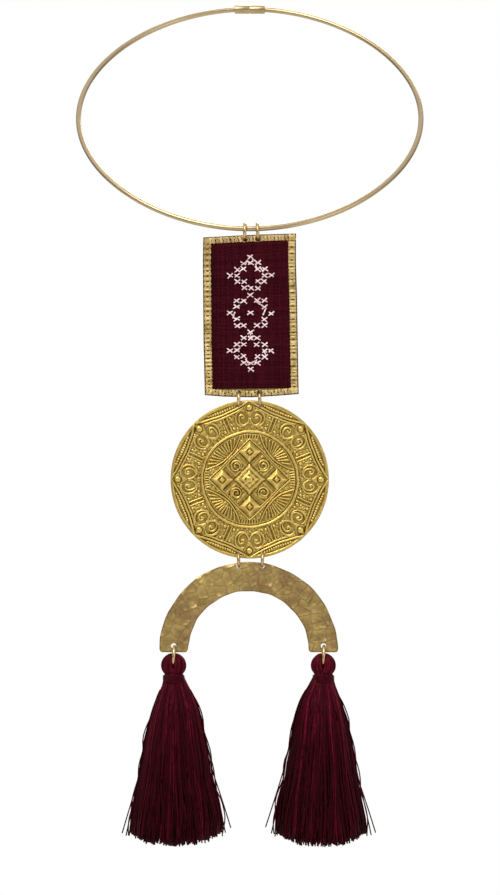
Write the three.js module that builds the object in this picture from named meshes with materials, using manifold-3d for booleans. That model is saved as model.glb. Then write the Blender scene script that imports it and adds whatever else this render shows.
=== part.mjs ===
// A bib necklace: a rigid brass neck wire that carries one column of flat tiers on pairs of jump rings.
// The tiers are an embroidered cloth panel, a cast medallion and a hammered arch with two silk tassels.
// Millimetres, +Z up, the front towards -Y. The origin is the centre of the neck wire's loop.
import * as THREE from "three";
import { mergeVertices } from "three/addons/utils/BufferGeometryUtils.js";
import Module from "manifold-3d";

const wasm = await Module();
wasm.setup();

// Clearances
const hangGap = 0.3;
const ringGap = 0.2;
const layerGap = 0.2;
const clothGap = 0.3;
const threadGap = 0.3;
const claspGap = 0.3;

// Collar: a round wire, bent by hand to a loop that is a little squared, and worn tilted down in front
const collarRadius = 66.3;
const collarSquareness = 0.0065;
const collarWire = 2.0;
const collarTilt = 44.4;
const collarWireSides = 8;
const collarSteps = 80;

// Clasp: a sleeve with a blind socket for each wire end
const claspLength = 12;
const claspWall = 0.45;
const claspWeb = 1.4;

// Jump rings: radius to the wire's centre, wire diameter, and how far left and right of the middle they hang
const ringSides = 16;
const ringWireSides = 6;
const collarRingRadius = 2.9;
const collarRingWire = 1.0;
const collarRingLeft = -1.9;
const collarRingRight = 3.0;
const panelRingRadius = 2.4;
const panelRingWire = 1.1;
const panelRingLeft = -4.2;
const panelRingRight = 3.8;
const medallionRingRadius = 2.45;
const medallionRingWire = 1.1;
const medallionRingLeft = -4.2;
const medallionRingRight = 4.8;
const tasselRingRadius = 3.0;
const tasselRingWire = 1.2;

// Panel: cloth inside a braid frame, on a stiff backing that stands a little proud of it
const panelWidth = 34.8;
const panelHeight = 60.9;
const panelShift = 0.2;
const panelHoleDepth = 1.3;
const braidSide = 2.9;
const braidEnd = 2.4;
const braidThickness = 1.3;
const braidRound = 0.35;
const clothThickness = 1.0;
const backingThickness = 0.8;
const backingProud = 0.25;

// Medallion: a cast disc with a raised rim and ornament
const medallionRadius = 29.9;
const medallionThickness = 1.5;
const medallionHoleDepth = 1.9;
const medallionSides = 72;
const rimWidth = 0.8;
const fieldDepth = 0.35;
const ornamentHeight = 0.5;
const ornamentRoot = 0.25;
const ornamentLine = 0.9;
const pyramidHeight = 2.2;
const studRadius = 1.3;

// Arch: a hammered half ring
const archOuter = 33.8;
const archInner = 22.8;
const archThickness = 1.0;
const archShift = -0.45;
const archLegDrop = 0.3;
const archCorner = 1.2;
const archHoleDepth = 1.6;
const archLegHoleUp = 2.1;
const archLegHoleRadius = 1.0;
const archBlowsAlong = 24;
const archBlowsAcross = 3;
const archBlowDepth = 0.14;

// Tassels: a head looped over the ring, a bound neck and a skirt of locks
const headRadius = 4.7;
const headDepth = 3.9;
const headToBinding = 3.5;
const bindingRadius = 4.15;
const bindingWall = 0.6;
const bindingHeight = 3.0;
const skirtLength = 59.5;
const skirtHalfWidth = 18.3;
const skirtDepthShare = 0.72;
const skirtLocks = 12;
const lockDepth = 0.13;
const lockTip = 2.2;
const tasselSides = 36;

// The panel's outline, as shares of half its width and half its height, from the top left corner clockwise
const panelOutline = [
  { across: -1.007, up: 0.969, corner: true },
  { across: -0.202, up: 0.994, corner: false },
  { across: 0.254, up: 1.006, corner: false },
  { across: 0.98, up: 1.017, corner: true },
  { across: 0.978, up: 0.672, corner: false },
  { across: 1.004, up: 0.2, corner: false },
  { across: 1.017, up: -0.297, corner: false },
  { across: 1.037, up: -0.96, corner: true },
  { across: 0.472, up: -0.985, corner: false },
  { across: 0.0, up: -1.0, corner: false },
  { across: -0.572, up: -0.991, corner: false },
  { across: -0.974, up: -0.973, corner: true },
  { across: -1.002, up: -0.297, corner: false },
  { across: -1.015, up: 0.672, corner: false },
];

// Each skirt's outline: drop as a share of its length, left and right edges as shares of its half width
const leftSkirt = [
  { drop: 0.0, left: 0.2, right: 0.27 },
  { drop: 0.05, left: 0.31, right: 0.38 },
  { drop: 0.1, left: 0.37, right: 0.46 },
  { drop: 0.165, left: 0.45, right: 0.54 },
  { drop: 0.23, left: 0.51, right: 0.6 },
  { drop: 0.355, left: 0.62, right: 0.68 },
  { drop: 0.48, left: 0.68, right: 0.79 },
  { drop: 0.61, left: 0.76, right: 0.83 },
  { drop: 0.735, left: 0.84, right: 0.97 },
  { drop: 0.86, left: 0.91, right: 1.05 },
  { drop: 1.0, left: 0.96, right: 1.04 },
];
const rightSkirt = [
  { drop: 0.0, left: 0.28, right: 0.23 },
  { drop: 0.05, left: 0.4, right: 0.28 },
  { drop: 0.1, left: 0.49, right: 0.36 },
  { drop: 0.165, left: 0.57, right: 0.43 },
  { drop: 0.23, left: 0.63, right: 0.51 },
  { drop: 0.355, left: 0.69, right: 0.59 },
  { drop: 0.48, left: 0.8, right: 0.67 },
  { drop: 0.61, left: 0.86, right: 0.73 },
  { drop: 0.735, left: 0.98, right: 0.81 },
  { drop: 0.86, left: 1.02, right: 0.9 },
  { drop: 1.0, left: 1.04, right: 0.94 },
];

// Materials
const brass = new THREE.MeshStandardMaterial({ color: 0xc9a24a, metalness: 1, roughness: 0.25 });
const castBrass = new THREE.MeshStandardMaterial({ color: 0xb08c38, metalness: 1, roughness: 0.4 });
const hammeredBrass = new THREE.MeshStandardMaterial({ color: 0x9a8046, metalness: 1, roughness: 0.5 });
const goldBraid = new THREE.MeshStandardMaterial({ color: 0xb5923f, metalness: 0.7, roughness: 0.55 });
const burgundyCloth = new THREE.MeshStandardMaterial({ color: 0x3c0a1c, metalness: 0, roughness: 0.9 });
const darkBacking = new THREE.MeshStandardMaterial({ color: 0x1c1210, metalness: 0, roughness: 0.85 });
const silk = new THREE.MeshStandardMaterial({ color: 0x4b0a23, metalness: 0, roughness: 0.6 });

// A closed geometry as a solid that can be joined and cut
function solid(geometry) {
  const bare = geometry.clone();
  bare.deleteAttribute("normal");
  bare.deleteAttribute("uv");
  const merged = mergeVertices(bare);
  const triVerts = new Uint32Array(merged.index.array);
  const vertProperties = merged.attributes.position.array;
  return new wasm.Manifold(new wasm.Mesh({ numProp: 3, vertProperties, triVerts }));
}

function geometryOf(body) {
  const made = body.getMesh();
  const geometry = new THREE.BufferGeometry();
  geometry.setAttribute("position", new THREE.BufferAttribute(made.vertProperties, 3));
  geometry.setIndex(new THREE.BufferAttribute(made.triVerts, 1));
  geometry.computeVertexNormals();
  return geometry;
}

function part(name, geometry, material) {
  const mesh = new THREE.Mesh(geometry, material);
  mesh.name = name;
  return mesh;
}

// A flat shape, drawn as seen from the front, made into a plate that reaches forward from its back face
function plate(shape, thickness, back, options = {}) {
  const settings = { depth: thickness, bevelEnabled: false, curveSegments: 6, ...options };
  return new THREE.ExtrudeGeometry(shape, settings).rotateX(Math.PI / 2).translate(0, back, 0);
}

// A flat shape made into a raised line with sloping sides on the medallion's face
function ridge(shape) {
  const slope = {
    bevelEnabled: true,
    bevelThickness: ornamentRoot,
    bevelSize: ornamentLine / 4,
    bevelOffset: -ornamentLine / 4,
    bevelSegments: 1,
  };
  return plate(shape, ornamentHeight - ornamentRoot, ornamentBack - ornamentRoot, slope);
}

function polygon(radius, sides) {
  const corners = Array.from({ length: sides }, (_, side) => {
    const turn = (2 * Math.PI * side) / sides;
    return new THREE.Vector2(radius * Math.cos(turn), radius * Math.sin(turn));
  });
  return new THREE.Shape(corners);
}

// A repeatable number from 0 to 1 for each pair of whole numbers, for what a hand leaves uneven
function uneven(first, second) {
  const wave = Math.sin(first * 12.99 + second * 78.23) * 437.58;
  return wave - Math.floor(wave);
}

// The collar's wire centre in the loop's own plane, with the front at zero
function collarPoint(around) {
  const reach = collarRadius * (1 + collarSquareness * Math.cos(4 * around));
  return new THREE.Vector3(reach * Math.sin(around), -reach * Math.cos(around), 0);
}

class CollarCurve extends THREE.Curve {
  getPoint(along) {
    const wireEnd = Math.asin((claspWeb / 2 + claspGap) / collarRadius);
    const half = Math.PI - wireEnd;
    return collarPoint(THREE.MathUtils.lerp(-half, half, along));
  }
}

function collarWireMesh() {
  const section = polygon(collarWire / 2, collarWireSides);
  const route = { steps: collarSteps, extrudePath: new CollarCurve() };
  return part("collar_wire", new THREE.ExtrudeGeometry(section, route), brass);
}

function claspMesh() {
  const bore = collarWire / 2 + claspGap;
  const outer = bore + claspWall;
  const half = claspLength / 2;
  const profile = [
    [0, -claspWeb / 2],
    [bore, -claspWeb / 2],
    [bore, -half],
    [outer, -half],
    [outer, half],
    [bore, half],
    [bore, claspWeb / 2],
    [0, claspWeb / 2],
  ].map(([radius, along]) => new THREE.Vector2(radius, along));
  const mesh = part("collar_clasp", new THREE.LatheGeometry(profile, ringSides), brass);
  const back = collarPoint(Math.PI).y;
  const sag = back - Math.sqrt(back * back - half * half);
  mesh.rotation.z = Math.PI / 2;
  mesh.position.y = back - sag / 2;
  return mesh;
}

// How far a ring's wire climbs on its way through a plate
function ringRise(ring, thickness) {
  const half = thickness / 2;
  return ring.radius - Math.sqrt(ring.radius * ring.radius - half * half);
}

// From a ring's centre to the hole that it passes through, and that hole's radius
function holeReach(ring, thickness) {
  return ring.radius - ringRise(ring, thickness) / 2;
}

function holeRadius(ring, thickness) {
  return ring.wire / 2 + ringRise(ring, thickness) / 2 + ringGap;
}

function drill(x, z, radius, thickness) {
  return solid(new THREE.CylinderGeometry(radius, radius, 3 * thickness, 12).translate(x, 0, z));
}

function ringMesh(name, ring, x, z) {
  const torus = new THREE.TorusGeometry(ring.radius, ring.wire / 2, ringWireSides, ringSides);
  const mesh = part(name, torus.rotateY(Math.PI / 2), brass);
  mesh.position.set(x, 0, z);
  return mesh;
}

const collarRing = { radius: collarRingRadius, wire: collarRingWire };
const panelRing = { radius: panelRingRadius, wire: panelRingWire };
const medallionRing = { radius: medallionRingRadius, wire: medallionRingWire };
const tasselRing = { radius: tasselRingRadius, wire: tasselRingWire };

// Heights down the pendant, from the collar's wire at the front
const panelThickness = braidThickness + layerGap + backingThickness;
const collarRingHeight = collarWire / 2 + hangGap - (collarRingRadius - collarRingWire / 2);
const panelTopHole = collarRingHeight - holeReach(collarRing, panelThickness);
const panelTop = panelTopHole + panelHoleDepth;
const panelMiddle = panelTop - panelHeight / 2;
const panelBottomHole = panelTop - panelHeight + panelHoleDepth;
const panelRingHeight = panelBottomHole - holeReach(panelRing, panelThickness);
const medallionTopHole = panelRingHeight - holeReach(panelRing, medallionThickness);
const medallionMiddle = medallionTopHole + medallionHoleDepth - medallionRadius;
const medallionBottomHole = medallionMiddle - medallionRadius + medallionHoleDepth;
const medallionRingHeight = medallionBottomHole - holeReach(medallionRing, medallionThickness);
const archTopHole = medallionRingHeight - holeReach(medallionRing, archThickness);
const archMiddle = archTopHole + archHoleDepth - archOuter;
const archLegHole = archMiddle + archLegHoleUp;
const archHoleSide = (archOuter + archInner) / 2;
const tasselRingHeight = archLegHole - (archLegHoleRadius - tasselRingWire / 2 - ringGap) - tasselRingRadius;
const headMiddle = archMiddle - archLegDrop - threadGap - headRadius;

// Depths through the panel
const panelBack = panelThickness / 2;
const frameBack = panelBack - backingThickness - layerGap;

function panelPoint(row, proud = 0) {
  const x = panelShift + row.across * (panelWidth / 2 + proud);
  const z = panelMiddle + row.up * (panelHeight / 2 + proud);
  return new THREE.Vector2(x, z);
}

// The window inside the braid, drawn in by a further gap for the cloth that lies in it
function panelWindow(gap) {
  const corners = panelOutline.filter((row) => row.corner);
  return corners.map((row) => {
    const corner = panelPoint(row);
    corner.x -= Math.sign(row.across) * (braidSide + gap);
    corner.y -= Math.sign(row.up) * (braidEnd + gap);
    return corner;
  });
}

function panelHoles(body) {
  const topRadius = holeRadius(collarRing, panelThickness);
  const bottomRadius = holeRadius(panelRing, panelThickness);
  return body
    .subtract(drill(collarRingLeft, panelTopHole, topRadius, panelThickness))
    .subtract(drill(collarRingRight, panelTopHole, topRadius, panelThickness))
    .subtract(drill(panelRingLeft, panelBottomHole, bottomRadius, panelThickness))
    .subtract(drill(panelRingRight, panelBottomHole, bottomRadius, panelThickness));
}

function panelMeshes() {
  const frame = new THREE.Shape(panelOutline.map((row) => panelPoint(row)));
  frame.holes.push(new THREE.Path(panelWindow(0).reverse()));
  const rounded = {
    bevelEnabled: true,
    bevelThickness: braidRound,
    bevelSize: braidRound,
    bevelOffset: -braidRound,
    bevelSegments: 1,
  };
  const frameDepth = braidThickness - 2 * braidRound;
  const border = solid(plate(frame, frameDepth, frameBack - braidRound, rounded));
  const cloth = plate(new THREE.Shape(panelWindow(clothGap)), clothThickness, frameBack);
  const sheet = new THREE.Shape(panelOutline.map((row) => panelPoint(row, backingProud)));
  const backing = solid(plate(sheet, backingThickness, panelBack));
  return [
    part("panel_border", geometryOf(panelHoles(border)), goldBraid),
    part("panel_cloth", cloth, burgundyCloth),
    part("panel_backing", geometryOf(panelHoles(backing)), darkBacking),
  ];
}

// The medallion's ornament is eightfold outside its ring band and fourfold inside it
const fieldFront = fieldDepth - medallionThickness / 2;
const ornamentBack = fieldFront + ornamentRoot;
const ornamentThickness = ornamentHeight + ornamentRoot;

function face(share, degrees) {
  const turn = (degrees * Math.PI) / 180;
  const reach = share * medallionRadius;
  return new THREE.Vector2(reach * Math.sin(turn), reach * Math.cos(turn));
}

function medallionDisc() {
  const back = medallionThickness / 2;
  const band = 0.6 * medallionRadius;
  const bandFront = fieldFront - ornamentHeight;
  const profile = [
    [0, back],
    [medallionRadius, back],
    [medallionRadius, -back],
    [medallionRadius - rimWidth, -back],
    [medallionRadius - rimWidth - fieldDepth, fieldFront],
    [band + ornamentLine, fieldFront],
    [band + ornamentLine / 2, bandFront],
    [band - ornamentLine / 2, bandFront],
    [band - ornamentLine, fieldFront],
    [0, fieldFront],
  ].map(([radius, depth]) => new THREE.Vector2(radius, depth));
  return solid(new THREE.LatheGeometry(profile.reverse(), medallionSides));
}

// A band that runs from point to point of the eight-pointed star, bowed in between them
function starOutline(inset) {
  const outline = new THREE.Path();
  const start = face(0.965, 0).setLength(0.965 * medallionRadius - 1.4 * inset);
  outline.moveTo(start.x, start.y);
  for (let point = 0; point < 8; point++) {
    const from = face(0.965, 45 * point).setLength(0.965 * medallionRadius - 1.4 * inset);
    const to = face(0.965, 45 * (point + 1)).setLength(0.965 * medallionRadius - 1.4 * inset);
    const dip = face(0.885, 45 * point + 22.5).setLength(0.885 * medallionRadius - inset);
    const pull = dip.multiplyScalar(2).sub(from.clone().add(to).multiplyScalar(0.5));
    outline.quadraticCurveTo(pull.x, pull.y, to.x, to.y);
  }
  return outline;
}

function starBand() {
  const corners = (inset) => starOutline(inset).getPoints(4).slice(1);
  const band = new THREE.Shape(corners(0));
  band.holes.push(new THREE.Path(corners(ornamentLine).reverse()));
  return ridge(band);
}

// A square frame with its corners up, down, left and right
function diamondFrame(share) {
  const corners = (reach) => [0, 90, 180, 270].map((turn) => face(reach, turn));
  const frame = new THREE.Shape(corners(share));
  frame.holes.push(new THREE.Path(corners(share - (1.4 * ornamentLine) / medallionRadius).reverse()));
  return ridge(frame);
}

// The bowed edge of a fan, from the ring band in towards the diamond and back
function fanEdge(diagonal) {
  const bow = (share, inset) => {
    const from = face(share, diagonal - 29);
    const to = face(share, diagonal + 29);
    const middle = face(0.39, diagonal).setLength(0.39 * medallionRadius + inset);
    const pull = middle.multiplyScalar(2).sub(from.clone().add(to).multiplyScalar(0.5));
    return new THREE.QuadraticBezierCurve(from, pull, to).getPoints(6);
  };
  const outline = bow(0.59, 0).concat(bow(0.59, ornamentLine).reverse().slice(1, -1));
  return plate(new THREE.Shape(outline), ornamentThickness, ornamentBack);
}

// A straight raised bar between two places on the face
function bar(from, to, width) {
  const along = to.clone().sub(from);
  const box = new THREE.BoxGeometry(width, ornamentThickness, along.length());
  box.rotateY(Math.atan2(along.x, along.y));
  const middle = from.clone().add(to).multiplyScalar(0.5);
  return box.translate(middle.x, ornamentBack - ornamentThickness / 2, middle.y);
}

function fanRays(diagonal) {
  const root = face(0.33, diagonal);
  return [-36, -18, 0, 18, 36].map((spread) => {
    const turn = ((diagonal + spread) * Math.PI) / 180;
    const way = new THREE.Vector2(Math.sin(turn), Math.cos(turn));
    const from = root.clone().addScaledVector(way, 0.11 * medallionRadius);
    const to = root.clone().addScaledVector(way, (0.225 - 0.0008 * Math.abs(spread)) * medallionRadius);
    return bar(from, to, ornamentLine / 2);
  });
}

function boss(place, radius, height, sides) {
  const knob = new THREE.CylinderGeometry(0.55 * radius, radius, height + ornamentRoot, sides);
  const depth = ornamentBack - (height + ornamentRoot) / 2;
  return knob.rotateX(Math.PI).translate(place.x, depth, place.y);
}

// A low square pyramid on a plinth, with a small boss on its tip
function pyramid(place, share) {
  const reach = share * medallionRadius;
  const plinth = new THREE.CylinderGeometry(0.93 * reach, reach, ornamentThickness, 4);
  const point = new THREE.ConeGeometry(0.8 * reach, pyramidHeight + ornamentRoot, 4);
  const plinthDepth = ornamentBack - ornamentThickness / 2;
  const pointDepth = ornamentBack - (pyramidHeight + ornamentRoot) / 2;
  return [
    plinth.rotateX(Math.PI).translate(place.x, plinthDepth, place.y),
    point.rotateX(Math.PI).translate(place.x, pointDepth, place.y),
    boss(place, 0.2 * reach, pyramidHeight, 8),
  ];
}

function curl(place, radius, tube) {
  const ring = new THREE.TorusGeometry(radius, tube, 5, 10).rotateX(Math.PI / 2);
  return ring.translate(place.x, fieldFront, place.y);
}

// Two hooked arcs joined in the middle, laid in a cell of the diamond
function scroll(place, lean) {
  const radius = 0.052 * medallionRadius;
  const turns = THREE.MathUtils.degToRad(250);
  const points = [];
  for (let step = -7; step <= 7; step++) {
    const swing = (Math.abs(step) / 7) * turns - Math.PI / 2;
    const side = Math.sign(step);
    const x = side * radius * Math.cos(swing);
    const z = side * radius * (1 + Math.sin(swing));
    points.push(new THREE.Vector3(x, 0, z));
  }
  const route = { steps: 14, extrudePath: new THREE.CatmullRomCurve3(points) };
  const wire = new THREE.ExtrudeGeometry(polygon(ornamentLine / 2, 4), route);
  return wire.rotateY(lean).translate(place.x, fieldFront, place.y);
}

function medallionMesh() {
  const pieces = [starBand(), diamondFrame(0.525)];
  for (let point = 0; point < 8; point++) {
    const turn = 45 * point;
    pieces.push(boss(face(0.905, turn), studRadius, ornamentHeight, 8));
    pieces.push(curl(face(0.79, turn - 6.8), 0.076 * medallionRadius, ornamentLine / 2));
    pieces.push(curl(face(0.79, turn + 6.8), 0.076 * medallionRadius, ornamentLine / 2));
    pieces.push(boss(face(0.79, turn - 6.8), 0.6, ornamentHeight, 5));
    pieces.push(boss(face(0.79, turn + 6.8), 0.6, ornamentHeight, 5));
    pieces.push(bar(face(0.65, turn + 22.5), face(0.86, turn + 22.5), ornamentLine));
    for (const spread of [-7, -3.5, 0, 3.5, 7]) {
      pieces.push(boss(face(0.935, turn + 22.5 + spread), 0.4, 0.6 * ornamentHeight, 5));
    }
  }
  for (const diagonal of [45, 135, 225, 315]) {
    pieces.push(fanEdge(diagonal), ...fanRays(diagonal));
    const lean = diagonal % 180 === 45 ? Math.PI / 4 : -Math.PI / 4;
    pieces.push(scroll(face(0.245, diagonal), lean));
  }
  pieces.push(...pyramid(face(0, 0), 0.197));
  for (const turn of [0, 90, 180, 270]) {
    pieces.push(...pyramid(face(0.36, turn), 0.15));
  }
  const ornament = pieces.reduce((body, piece) => body.add(solid(piece)), medallionDisc());
  const topRadius = holeRadius(panelRing, medallionThickness);
  const bottomRadius = holeRadius(medallionRing, medallionThickness);
  const topHole = medallionTopHole - medallionMiddle;
  const bottomHole = medallionBottomHole - medallionMiddle;
  const drilled = ornament
    .subtract(drill(panelRingLeft, topHole, topRadius, medallionThickness))
    .subtract(drill(panelRingRight, topHole, topRadius, medallionThickness))
    .subtract(drill(medallionRingLeft, bottomHole, bottomRadius, medallionThickness))
    .subtract(drill(medallionRingRight, bottomHole, bottomRadius, medallionThickness));
  const mesh = part("medallion", geometryOf(drilled), castBrass);
  mesh.position.z = medallionMiddle;
  return mesh;
}

// The arch seen from the front, with rounded corners at the ends of its legs
function archOutline() {
  const lift = archCorner - archLegDrop;
  const outerTurn = Math.asin(lift / archOuter);
  const innerTurn = Math.asin(lift / archInner);
  const shape = new THREE.Shape();
  shape.absarc(0, 0, archOuter, Math.PI - outerTurn, outerTurn, true);
  shape.quadraticCurveTo(archOuter, -archLegDrop, archOuter - archCorner, -archLegDrop);
  shape.lineTo(archInner + archCorner, -archLegDrop);
  shape.quadraticCurveTo(archInner, -archLegDrop, archInner * Math.cos(innerTurn), lift);
  shape.absarc(0, 0, archInner, innerTurn, Math.PI - innerTurn, false);
  shape.quadraticCurveTo(-archInner, -archLegDrop, -archInner - archCorner, -archLegDrop);
  shape.lineTo(-archOuter + archCorner, -archLegDrop);
  shape.quadraticCurveTo(-archOuter, -archLegDrop, -archOuter * Math.cos(outerTurn), lift);
  return shape;
}

// A bar bent to a half ring, wider than the arch, whose front is dented by the hammer
function hammeredBar() {
  const bent = new THREE.BoxGeometry(1, 1, 1, archBlowsAlong, archBlowsAcross, 1);
  const places = bent.attributes.position;
  const spare = 0.8;
  const legAngle = (2 * spare + archLegDrop) / archInner;
  for (let i = 0; i < places.count; i++) {
    const along = places.getX(i) + 0.5;
    const across = places.getY(i) + 0.5;
    const turn = THREE.MathUtils.lerp(Math.PI + legAngle, -legAngle, along);
    const radius = THREE.MathUtils.lerp(archInner - spare, archOuter + spare, across);
    const blow = uneven(Math.round(along * archBlowsAlong), Math.round(across * archBlowsAcross));
    const front = -archThickness / 2 + archBlowDepth * blow;
    const depth = places.getZ(i) > 0 ? front : archThickness / 2;
    places.setXYZ(i, radius * Math.cos(turn), depth, radius * Math.sin(turn));
  }
  return solid(bent);
}

function archMesh() {
  const outline = plate(archOutline(), 2 * archThickness, archThickness, { curveSegments: 20 });
  const radius = holeRadius(medallionRing, archThickness);
  const topHole = archTopHole - archMiddle;
  const body = hammeredBar()
    .intersect(solid(outline))
    .subtract(drill(medallionRingLeft - archShift, topHole, radius, archThickness))
    .subtract(drill(medallionRingRight - archShift, topHole, radius, archThickness))
    .subtract(drill(-archHoleSide, archLegHoleUp, archLegHoleRadius, archThickness))
    .subtract(drill(archHoleSide, archLegHoleUp, archLegHoleRadius, archThickness));
  const mesh = part("arch", geometryOf(body), hammeredBrass);
  mesh.position.set(archShift, 0, archMiddle);
  return mesh;
}

// The sections of a tassel from its crown down, heights from the head's middle
function tasselSections(skirt) {
  const sections = [];
  for (const lift of [88, 62, 36, 10, -16]) {
    const turn = THREE.MathUtils.degToRad(lift);
    const across = headRadius * Math.cos(turn);
    const depth = headDepth * Math.cos(turn);
    sections.push({ height: headRadius * Math.sin(turn), left: across, right: across, depth, lock: 0, tip: 0 });
  }
  const neck = bindingRadius - bindingWall - threadGap;
  const bindingTop = -headToBinding;
  const bindingBottom = bindingTop - bindingHeight;
  for (const height of [bindingTop, bindingBottom]) {
    sections.push({ height, left: neck, right: neck, depth: neck, lock: 0, tip: 0 });
  }
  for (const row of skirt) {
    const left = row.left * skirtHalfWidth;
    const right = row.right * skirtHalfWidth;
    const depth = Math.max(((left + right) / 2) * skirtDepthShare, neck);
    const height = bindingBottom - threadGap - row.drop * skirtLength;
    sections.push({ height, left, right, depth, lock: lockDepth * Math.min(1, 2 * row.drop), tip: 0 });
  }
  sections.at(-1).tip = lockTip;
  return sections;
}

function tasselMesh(name, skirt, ringDrop) {
  const sections = tasselSections(skirt);
  const form = new THREE.CylinderGeometry(1, 1, 1, tasselSides, sections.length - 1);
  const places = form.attributes.position;
  for (let i = 0; i < places.count; i++) {
    const section = sections[Math.round((0.5 - places.getY(i)) * (sections.length - 1))];
    const sideways = places.getX(i);
    const forward = places.getZ(i);
    const turn = Math.atan2(sideways, forward);
    const ridge = (1 - Math.cos(skirtLocks * turn)) / 2;
    const reach = 1 - section.lock * (1 - ridge);
    const lock = Math.floor((turn / (2 * Math.PI) + 1) * skirtLocks + 0.01);
    const onAxis = Math.hypot(sideways, forward) < 0.5;
    const tip = onAxis ? 0 : section.tip * ridge * (0.4 + uneven(lock, skirt.length));
    const x = sideways * reach * (sideways < 0 ? section.left : section.right);
    places.setXYZ(i, x, -forward * reach * section.depth, section.height - tip);
  }
  const channel = new THREE.TorusGeometry(tasselRing.radius, tasselRing.wire / 2 + threadGap, 8, ringSides);
  channel.rotateY(Math.PI / 2).translate(0, 0, ringDrop);
  return part(name, geometryOf(solid(form).subtract(solid(channel))), silk);
}

function bindingMesh(name) {
  const inner = bindingRadius - bindingWall;
  const half = bindingHeight / 2 - threadGap / 2;
  const round = bindingWall / 2;
  const profile = [
    [inner, -half],
    [bindingRadius - round, -half],
    [bindingRadius, -half + round],
    [bindingRadius, half - round],
    [bindingRadius - round, half],
    [inner, half],
    [inner, -half],
  ].map(([radius, height]) => new THREE.Vector2(radius, height));
  const band = new THREE.LatheGeometry(profile, ringSides).rotateX(Math.PI / 2);
  const mesh = part(name, band, silk);
  mesh.position.z = -headToBinding - bindingHeight / 2;
  return mesh;
}

function tasselGroup(side, x, skirt) {
  const tassel = new THREE.Group();
  tassel.position.set(x, 0, headMiddle);
  tassel.add(tasselMesh("tassel_" + side, skirt, tasselRingHeight - headMiddle));
  tassel.add(bindingMesh("tassel_binding_" + side));
  return tassel;
}

const collar = new THREE.Group();
collar.rotation.x = THREE.MathUtils.degToRad(collarTilt);
collar.add(collarWireMesh(), claspMesh());

const pendant = new THREE.Group();
pendant.position.copy(collarPoint(0).applyEuler(collar.rotation));
pendant.add(
  ringMesh("collar_ring_left", collarRing, collarRingLeft, collarRingHeight),
  ringMesh("collar_ring_right", collarRing, collarRingRight, collarRingHeight),
  ...panelMeshes(),
  ringMesh("panel_ring_left", panelRing, panelRingLeft, panelRingHeight),
  ringMesh("panel_ring_right", panelRing, panelRingRight, panelRingHeight),
  medallionMesh(),
  ringMesh("medallion_ring_left", medallionRing, medallionRingLeft, medallionRingHeight),
  ringMesh("medallion_ring_right", medallionRing, medallionRingRight, medallionRingHeight),
  archMesh(),
  ringMesh("tassel_ring_left", tasselRing, archShift - archHoleSide, tasselRingHeight),
  ringMesh("tassel_ring_right", tasselRing, archShift + archHoleSide, tasselRingHeight),
  tasselGroup("left", archShift - archHoleSide, leftSkirt),
  tasselGroup("right", archShift + archHoleSide, rightSkirt),
);

const necklace = new THREE.Group();
necklace.add(collar, pendant);

export default necklace;
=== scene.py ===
import math

import bpy
import numpy as np
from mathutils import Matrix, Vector
from mathutils.geometry import delaunay_2d_cdt


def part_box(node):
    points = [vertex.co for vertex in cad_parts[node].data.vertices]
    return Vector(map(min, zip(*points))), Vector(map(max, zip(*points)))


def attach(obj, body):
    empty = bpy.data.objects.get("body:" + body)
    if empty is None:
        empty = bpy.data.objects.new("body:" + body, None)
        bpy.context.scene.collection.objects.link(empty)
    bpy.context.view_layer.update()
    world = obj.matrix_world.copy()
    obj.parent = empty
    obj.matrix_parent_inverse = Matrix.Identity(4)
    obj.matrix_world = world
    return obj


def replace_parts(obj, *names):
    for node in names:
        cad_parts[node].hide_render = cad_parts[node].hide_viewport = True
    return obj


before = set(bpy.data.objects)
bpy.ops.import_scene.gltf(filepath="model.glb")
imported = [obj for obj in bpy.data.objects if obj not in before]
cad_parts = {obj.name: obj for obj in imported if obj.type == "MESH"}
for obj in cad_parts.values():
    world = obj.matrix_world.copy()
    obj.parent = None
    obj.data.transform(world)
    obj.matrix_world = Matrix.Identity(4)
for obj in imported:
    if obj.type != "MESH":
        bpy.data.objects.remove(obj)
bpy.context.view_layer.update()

# Camera: level with the medallion's upper half, straight in front of the wearer and about 1.5 m away.
# The lens fits the necklace to the tall frame with a little room above and below.
scene = bpy.context.scene
camera = bpy.data.objects.new("camera", bpy.data.cameras.new("camera"))
camera.location = (0.0001, -1.5597, -0.1294)
camera.rotation_euler = (math.radians(90), 0, 0)
camera.data.sensor_width = 36
camera.data.lens = 160.9
scene.collection.objects.link(camera)
scene.camera = camera

# Neck wire: one round brass rod, polished and bent by hand to a slightly squared loop.
# It is worn tilted down in front, and its two ends meet behind the neck.
mm = 0.001
collar_tilt = math.radians(44.4)
pendant_depth = -47.6774
loop_radius, loop_squareness, neck_wire_radius = 66.3, 0.0065, 1.0
end_gap = 1.0


def wire(material, kind, inputs, **settings):
    """Adds a shader node. Each input is a value or another node's output."""
    made = material.node_tree.nodes.new(kind)
    for name, value in settings.items():
        setattr(made, name, value)
    for socket, value in inputs.items():
        if isinstance(value, bpy.types.NodeSocket):
            material.node_tree.links.new(value, made.inputs[socket])
        else:
            made.inputs[socket].default_value = value
    return made


def noise(material, scale, detail=3.0, rough=0.5, stretch=(1, 1, 1)):
    """Cloudy numbers from 0 to 1 in object space, so many to a metre."""
    place = wire(material, "ShaderNodeTexCoord", {}).outputs["Object"]
    place = wire(material, "ShaderNodeMapping", {"Vector": place, "Scale": stretch}).outputs[0]
    inputs = {"Vector": place, "Scale": scale, "Detail": detail, "Roughness": rough}
    return wire(material, "ShaderNodeTexNoise", inputs).outputs[0]


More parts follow.
